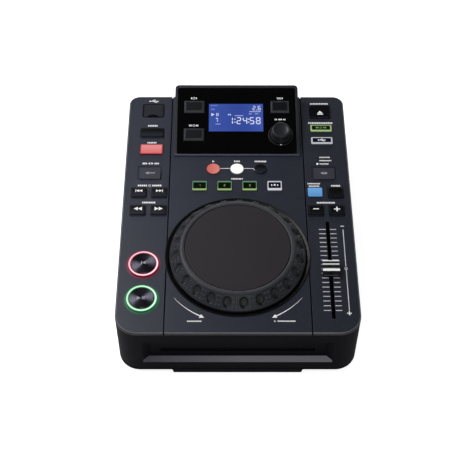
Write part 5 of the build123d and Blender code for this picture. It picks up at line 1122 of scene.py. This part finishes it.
class PLAYER_OT_hood(bpy.types.Operator):
    """Finish the display hood, its fascia and its display, and turn the select knob"""

    bl_idname = "player.hood"
    bl_label = "Display hood"

    def execute(self, context):
        shell, lights = context.scene.player_shell, context.scene.player_lights
        # The lip at the hood's foot is painted in the deck's colour, made lighter as a painted highlight.
        hood = moulded("satin_abs", shell.hood_colour)
        patched(hood, scaled(shell.deck_colour, 2.1), Y=(HOOD_FRONT - 1, HOOD_FRONT + 1.5))
        dress(hood, "display_hood")
        # Fascia: polished acrylic over black, so it is nearly a mirror, with faint wipe marks.
        acrylic, tree, shader, wipes = mottled(
            "polished_acrylic", 25.0, "020203", "050507", Detail=5.0, Distortion=1.5
        )
        gloss = add(tree, "ShaderNodeMapRange", {"Value": wipes, "To Min": 0.05, "To Max": 0.14})
        feed(shader, {"Roughness": gloss, "IOR": 1.49, "Specular IOR Level": 0.35})
        dress(acrylic, "display_fascia")
        ink = bpy.data.materials["screen_ink"]
        prints = drawn(
            caption, (-43.4, 66.4, 6.2, 2.6, "clock", 0.4), (-43.2, 34.2, 9.6, 2.6, "loop", 0.5),
            (44.0, 66.4, 6.2, 2.4, "list", 0.5), (43.7, 41.4, 11.0, 2.4, "turn"),
        )
        raised("fascia_prints", prints, on_slope, ink, "case")
        outline = [(11.05, 0.05), (12.5, 0.05), (12.5, 0.6), (12.25, 0.88), (11.9, 0.95), (11.3, 0.95), (11.05, 0.8)]
        turned("knob_collar", outline, KNOB, on_slope, moulded("collar_abs"), "case", 96)
        mark = bar(KNOB[0], KNOB[1] - 11.7, 1.2, 1.0)
        raised("collar_mark", mark, over(on_slope, 0.95), ink, "case")

        # Display: a blue backlight behind glass, brighter at its ends where its lamps are.
        glass, tree, shader, where = start_finish("backlit_display")
        parts = add(tree, "ShaderNodeSeparateXYZ", {0: where})
        across = add(tree, "ShaderNodeMath", {0: parts.outputs[0], 1: -DISPLAY[0] * MM}, operation="ADD")
        far = add(tree, "ShaderNodeMath", {0: across}, operation="ABSOLUTE")
        ends = add(
            tree, "ShaderNodeMapRange", {"Value": far, "From Min": 4 * MM, "From Max": 28 * MM, "To Max": 0.45}
        )
        cloud = add(tree, "ShaderNodeTexNoise", {"Vector": where, "Scale": 1 / (16 * MM), "Detail": 2.0})
        mixed = add(tree, "ShaderNodeMath", {0: cloud, 1: 0.55, 2: ends}, operation="MULTIPLY_ADD")
        shades = {0: mixed, 6: scaled(lights.display, 0.8), 7: linear("4159AE")}
        feed(shader, {
            "Base Color": linear("0A0D18"), "Roughness": 0.12, "Specular IOR Level": 0.3,
            "Emission Color": add(tree, "ShaderNodeMix", shades, data_type="RGBA"), "Emission Strength": 1.0,
        })
        dress(glass, "lcd_module")

        # Figures are clear areas of the display, so they show the lamp's white. Each row
        # starts with its place across and up from the display's middle.
        cx, cs = DISPLAY
        on_glass = over(on_slope, -GLASS_SUNK)

        def shown(draw, *rows):
            """Shapes on the display, from rows of their values."""
            return drawn(draw, *((cx + x, cs + s, *rest) for x, s, *rest in rows))

        time = shown(
            figure, (-5.35, -3.65, 8.1, "1"), (2.9, -3.65, 8.1, "2"), (9.1, -3.65, 8.1, "4"),
            (16.05, -3.65, 8.1, "5"), (22.4, -3.65, 8.1, "8"), (18.3, 11.2, 5.2, "2"), (23.6, 11.2, 5.2, "6"),
            (-19.5, -2.9, 5.0, "7", 0.2),
        )
        time += shown(
            bar, (-1.0, -1.9, 1.1, 1.1), (-1.0, -5.4, 1.1, 1.1), (12.8, -1.9, 1.1, 1.1), (12.8, -5.4, 1.1, 1.1),
            (21.0, 8.9, 0.8, 0.8),
        )
        time += symbol("play_pause", cx - 20.6, cs + 3.5, 3.5)
        notes = shown(
            caption, (19.3, 7.0, 11.5, 1.3), (-6.6, 3.4, 3.6, 2.2), (-18.2, -7.6, 5.0, 1.0), (3.0, 2.3, 8.8, 1.1),
            (14.4, 4.4, 3.0, 1.0), (20.8, 4.4, 3.4, 1.0),
        )
        ghosts = shown(caption, (-22.2, 14.2, 7.2, 1.6), (-23.3, 9.7, 4.0, 2.2))
        low, high = (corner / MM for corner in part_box("lcd_module"))
        edges = shown(bar, (0, -16.55, high.x - low.x, 0.9), (0, 16.55, high.x - low.x, 0.9))
        raised("display_edges", edges, on_glass, moulded("display_mask"), "case", high=0.03)
        for name, shapes, colour in (
            ("display_figures", time, lights.figures), ("display_notes", notes, "B4BDE8"),
            ("display_ghosts", ghosts, "6E7CC8"),
        ):
            lit = glowing("lit_" + name, colour, 1.0, roughness=0.2)
            raised(name, shapes, on_glass, lit, "case", high=0.03)

        # Select knob: a flared skirt and a dished top.
        knob = moulded("soft_touch_knob")
        outline = [
            (0, 8.4), (3.05, 8.4), (3.05, 0.9), (9.9, 0.9), (10.4, 1.1), (10.5, 1.5), (10.4, 2.0), (9.9, 3.2),
            (9.5, 5.0), (9.1, 8.0), (8.95, 9.6), (8.75, 10.3), (8.35, 10.75), (7.8, 10.9), (7.3, 10.85), (6.4, 10.5),
            (4.5, 10.05), (2.0, 9.85), (0, 9.8),
        ]
        cap = turned("knob_cap", outline, KNOB, on_slope, knob, "select_knob", 72)
        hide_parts("select_knob")
        dress(knob, "select_knob")
        # Turned steel: pale, with fine marks.
        dress(metal("turned_shaft", "9A9CA2", 0.3, 0.8), "select_shaft")
        return {"FINISHED"}


class PLAYER_OT_keys(bpy.types.Operator):
    """Finish the keys, with their frames, windows and symbols"""

    bl_idname = "player.keys"
    bl_label = "Keys"

    def execute(self, context):
        lights = context.scene.player_lights
        # The satin keys get painted shade at the back of their faces and a painted highlight at the front.
        dress(
            moulded("satin_key_abs", painted_face_shade=(0.2, 2.7)),
            "btn_single", "btn_track_back", "btn_track_forward",
            "btn_search_back", "btn_search_forward", "btn_reloop",
        )
        # The keys on the right take the darker copy: painted shade.
        dress(moulded("dark_key_abs", painted_face_shade=(0.2, 2.0)), "btn_pitch_range", "btn_bend_down", "btn_bend_up")
        dress(moulded("smoked_key_abs"), "btn_reverse", "btn_jog_mode")
        dress(moulded("gloss_key_abs"), "btn_eject")

        # Lit keys of translucent ABS. Their walls are painted dark, so only the caps shine.
        white = lights.white_keys
        lit = middle("btn_brake")[2] - 0.2
        for name, colour, strength, toward, *keys in (
            ("lit_brake_edge", "B4484E", 0.9, None, "btn_brake"),
            ("lit_in_key", lights.in_key, 0.8, ("E58A80", "X", -29.0, -18.0), "btn_loop_in"),
            ("lit_out_key", lights.out_key, 0.95, None, "btn_loop_out"),
            ("lit_tempo_key", lights.tempo_key, 0.8, ("74B0EC", "Y", 10.0, 20.0), "btn_master_tempo"),
            (
                "lit_cue_frame", lights.cue_keys, 1.0, ("90AC6E", "Y", 22.0, 18.5),
                "btn_hot_1", "btn_hot_2", "btn_hot_3",
            ),
            ("lit_memo_frame", scaled(white, 0.7), 1.0, (scaled(white, 0.85), "Y", 22.0, 18.5), "btn_memo"),
            ("lit_disc_frame", lights.disc_key, 0.85, None, "btn_source_disc"),
            ("lit_usb_frame", scaled(white, 0.62), 1.0, None, "btn_source_usb"),
        ):
            dress(glowing(name, colour, strength, toward, above=lit), *keys)
        x, y, _ = middle("btn_brake")
        brake = glowing("lit_brake_face", lights.brake_key, 0.88, ("E8908F", "Y", 66.0, 73.0))
        raised(
            "brake_face", bar(x, y, 20.2, 10.4), on_top("btn_brake"), brake, "btn_brake", high=0.1
        )

        # The hood's keys have a raised rim, painted lighter than the face: a painted highlight.
        dress(moulded("hood_key_rim"), "btn_time", "btn_repeat", "btn_program")
        hood_key = moulded("hood_key_abs")
        for key, up, width in (("btn_time", 55.7, 16.0), ("btn_repeat", 23.3, 16.0), ("btn_program", 55.7, 14.4)):
            face = [rounded(middle(key)[0], up, width, 9.6, 1.0)]
            raised(key.replace("btn", "face"), face, over(on_slope, 2.2), hood_key, key, high=0.04)

        # Cue and play: spun aluminium, anodised black, so a fan of light turns with the eye.
        spun, tree, shader, _ = mottled("spun_black_aluminium", 0.7, "3E3E46", "646470", Detail=2.0)
        feed(shader, {
            "Metallic": 1.0, "Roughness": 0.26, "Anisotropic": 0.95, "Anisotropic Rotation": 0.25,
            "Tangent": add(tree, "ShaderNodeTangent", direction_type="RADIAL", axis="Z"),
        })
        dress(spun, "btn_cue", "btn_play")

        ink, faded = bpy.data.materials["screen_ink"], moulded("faded_ink")
        for key, kind, size, back, finish in (
            ("btn_track_back", "skip_back", 3.3, 1.7, ink), ("btn_track_forward", "skip_forward", 3.3, 1.7, ink),
            ("btn_search_back", "back", 4.4, 1.3, ink), ("btn_search_forward", "forward", 4.4, 1.3, ink),
            ("btn_bend_down", "minus", 5.4, 1.2, ink), ("btn_bend_up", "plus", 5.8, 1.0, ink),
            ("btn_eject", "eject", 5.8, -2.0, ink), ("btn_reverse", "arrow_left", 3.6, 0.3, faded),
            ("btn_jog_mode", "turn", 3.6, 0.3, faded), ("btn_cue", "to_cue", 3.4, 0.6, faded),
            ("btn_play", "play_pause", 3.4, 0.0, faded),
        ):
            x, y, _ = middle(key)
            shapes = symbol(kind, x, y + back, size)
            raised(key.replace("btn", "sign"), shapes, on_top(key), finish, key)

        # Framed keys: the cap is the lit frame, a smoked window lies in it, and its sign
        # is a clear area of the window.
        green_window, dark_window = moulded("smoked_green_window"), moulded("smoked_window")
        lime, leaf = glowing("lit_numbers", "A8A95A", 0.75), glowing("lit_disc_sign", "7E9C6A", 0.85)
        pale = glowing("lit_signs", "DCDEEE", 1.0)
        glass_top = 0.12
        for key, width, depth, back, window, sign, lamp in (
            ("btn_hot_1", 12.3, 7.7, 0.0, green_window, "1", lime),
            ("btn_hot_2", 12.3, 7.7, 0.0, green_window, "2", lime),
            ("btn_hot_3", 12.3, 7.7, 0.0, green_window, "3", lime),
            ("btn_memo", 11.8, 7.2, 0.3, dark_window, "marker", pale),
            ("btn_source_disc", 18.4, 5.6, 0.4, green_window, "disc", leaf),
            ("btn_source_usb", 18.4, 5.4, 0.3, dark_window, "usb", pale),
        ):
            x, y, _ = middle(key)
            y += back
            if sign in SEGMENTS:
                shapes = figure(x, y, 2.7, sign, 0.16)
            elif sign == "usb":
                shapes = symbol(sign, x, y, 3.4)
            else:
                shapes = caption(x, y, 0.6 * width, 2.6, sign, 0.6)
            plate, place = bar(x, y, width, depth), on_top(key)
            raised(key.replace("btn", "window"), plate, place, window, key, high=glass_top)
            raised(
                key.replace("btn", "sign"), shapes, place, lamp, key, glass_top + BURIED, glass_top + INK
            )
        return {"FINISHED"}


class PLAYER_OT_fader(bpy.types.Operator):
    """Finish the pitch fader and its cap"""

    bl_idname = "player.fader"
    bl_label = "Pitch fader"

    def execute(self, context):
        # Fader housing: plated steel, dull.
        dress(metal("plated_housing", "4A4B50", 0.5, 1.2), "pitch_fader")
        dress(moulded("fader_cap_abs"), "fader_cap")
        ink, thin_ink = (bpy.data.materials[name] for name in ("screen_ink", "thin_screen_ink"))
        x, y, top = middle("fader_cap")
        width = 15.6
        saddle, foot, bank, fall = 1.6, 4.2, 6.3, 6.7 / 1.2

        def on_cap(u, v, h):
            """A point on the cap's saddle, v in front of or behind its middle."""
            away = abs(v)
            drop = saddle * max(0.0, 1 - away / foot) + max(0.0, away - bank) * fall
            return Vector((x + u, y + v, top - drop + h)) * MM

        for name, shapes, finish in (
            ("cap_centre_line", bar(0, -3.35, width, 1.7) + bar(0, -4.85, width, 1.3), ink),
            ("cap_back_line", bar(0, 5.75, width, 0.95), ink),
            ("cap_second_line", bar(0, 2.5, width - 0.3, 1.4), thin_ink),
            # The dim front line is a painted highlight along the cap's front edge.
            ("cap_front_line", bar(0, -7.15, width - 2, 0.12), moulded("dim_ink")),
        ):
            raised(name, shapes, on_cap, finish, "fader_cap", low=-INK)
        return {"FINISHED"}


class PLAYER_OT_sockets(bpy.types.Operator):
    """Finish the USB cover, the rear sockets and the power rocker"""

    bl_idname = "player.sockets"
    bl_label = "Sockets"

    def execute(self, context):
        dress(moulded("glass_filled_nylon"), "rear_jacks")
        dress(moulded("rocker_abs"), "power_rocker")
        dress(moulded("cover_rubber"), "usb_cover")
        # Nickel plate: bright and a little yellow.
        nickel = metal("nickel_plate", "B8B6B0", 0.22, 0.8)
        ring = [(4.25, 0.0), (6.0, 0.0), (6.0, 0.9), (5.75, 1.2), (4.25, 1.2)]
        lip = [(3.15, -1.3), (4.25, -1.3), (4.35, -1.1), (4.35, -0.75), (4.2, -0.6), (3.3, -0.6), (3.15, -0.75)]
        nut = [(3.1, 0.0), (4.6, 0.0), (4.6, 0.8), (4.3, 1.0), (3.1, 1.0)]
        in_niche = over(on_back, SOCKET_FLOOR)
        for side, x in (("left", -12.0), ("right", -28.0), ("digital", -46.0)):
            spot, plastic = (x, SOCKET_Z), moulded("jack_insulator_" + side)
            turned("jack_ring_" + side, ring, spot, in_niche, plastic, "case", 48)
            turned("jack_shell_" + side, lip, spot, on_back, nickel, "case", 48)
        turned("remote_nut", nut, (-64.0, SOCKET_Z), in_niche, nickel, "case", 6, None)
        marks = frame_of(-20.0, 43.6, 26.0, 1.2, 0.4) + drawn(
            symbol, ("disc", -46.0, 44.0, 3.0), ("both", -64.0, 44.0, 2.4), ("usb", -84.0, 44.0, 3.0),
            ("on", 57.0, 41.0, 2.6), ("off", 47.0, 41.0, 2.6),
        )
        raised("back_prints", marks, on_back, bpy.data.materials["screen_ink"], "case")
        return {"FINISHED"}


class PLAYER_OT_drive(bpy.types.Operator):
    """Finish what is inside: the drive, the boards and the switches"""

    bl_idname = "player.drive"
    bl_label = "Drive and boards"

    def execute(self, context):
        # Zinc-plated sheet, rolled along the drive, and motor cans drawn from it.
        dress(metal("rolled_zinc_sheet", "A6A8AC", 0.35, 1.2, (1.0, 0.1, 1.0)), "drive_chassis", "drive_cover")
        dress(metal("motor_cans", "9FA0A3", 0.3, 0.9), "drive_motors")
        dress(moulded("damper_rubber"), "drive_dampers")
        dress(moulded("acetal"), "spindle_hub", "disc_clamper")
        dress(moulded("sled_polymer"), "pickup_sled")
        dress(moulded("roller_rubber"), "loading_roller")
        # Glass-epoxy board under green resist: the copper's tracks show as a lighter net.
        board, tree, shader, where = start_finish("glass_epoxy_board")
        tracks = add(
            tree, "ShaderNodeTexBrick",
            {
                "Vector": where, "Scale": 1 / (9 * MM), "Mortar Size": 0.06, "Color1": linear("0F4A2A"),
                "Color2": linear("135531"), "Mortar": linear("2C7A48"),
            },
        )
        bump = add(tree, "ShaderNodeBump", {"Distance": 0.03 * MM, "Height": tracks.outputs[1]})
        feed(shader, {"Base Color": tracks, "Normal": bump, "Roughness": 0.35})
        dress(board, "switch_boards", "main_board", "power_supply")
        return {"FINISHED"}


OPERATORS = (
    PLAYER_OT_stage, PLAYER_OT_case, PLAYER_OT_deck, PLAYER_OT_rings, PLAYER_OT_wheel, PLAYER_OT_hood,
    PLAYER_OT_keys, PLAYER_OT_fader, PLAYER_OT_sockets, PLAYER_OT_drive,
)
SETTINGS = {
    "player_shell": ShellSettings, "player_wheel": WheelSettings, "player_lights": LightSettings,
    "player_fader": FaderSettings, "player_stage": StageSettings,
}


class PLAYER_PT_panel(bpy.types.Panel):
    """Settings and pieces of the disc player"""

    bl_idname = "PLAYER_PT_panel"
    bl_label = "Disc Player"
    bl_space_type = "VIEW_3D"
    bl_region_type = "UI"
    bl_category = "Disc Player"

    def draw(self, context):
        for name, group in SETTINGS.items():
            box = self.layout.box()
            box.label(text=group.__doc__)
            for prop in group.__annotations__:
                box.prop(getattr(context.scene, name), prop)
        for operator in OPERATORS:
            self.layout.operator(operator.bl_idname)


CLASSES = (*SETTINGS.values(), *OPERATORS, PLAYER_PT_panel)


def register():
    for kind in CLASSES:
        bpy.utils.register_class(kind)
    for name, group in SETTINGS.items():
        setattr(bpy.types.Scene, name, PointerProperty(type=group))


def unregister():
    for name in SETTINGS:
        delattr(bpy.types.Scene, name)
    for kind in reversed(CLASSES):
        bpy.utils.unregister_class(kind)


def corners(box):
    """A box's two corners as plain numbers."""
    return [[float(v) for v in corner] for corner in box]


def main():
    """Make every piece in order."""
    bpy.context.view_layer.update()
    register()
    for operator in OPERATORS:
        area, name = operator.bl_idname.split(".")
        getattr(getattr(bpy.ops, area), name)()


if __name__ == "__main__":
    main()
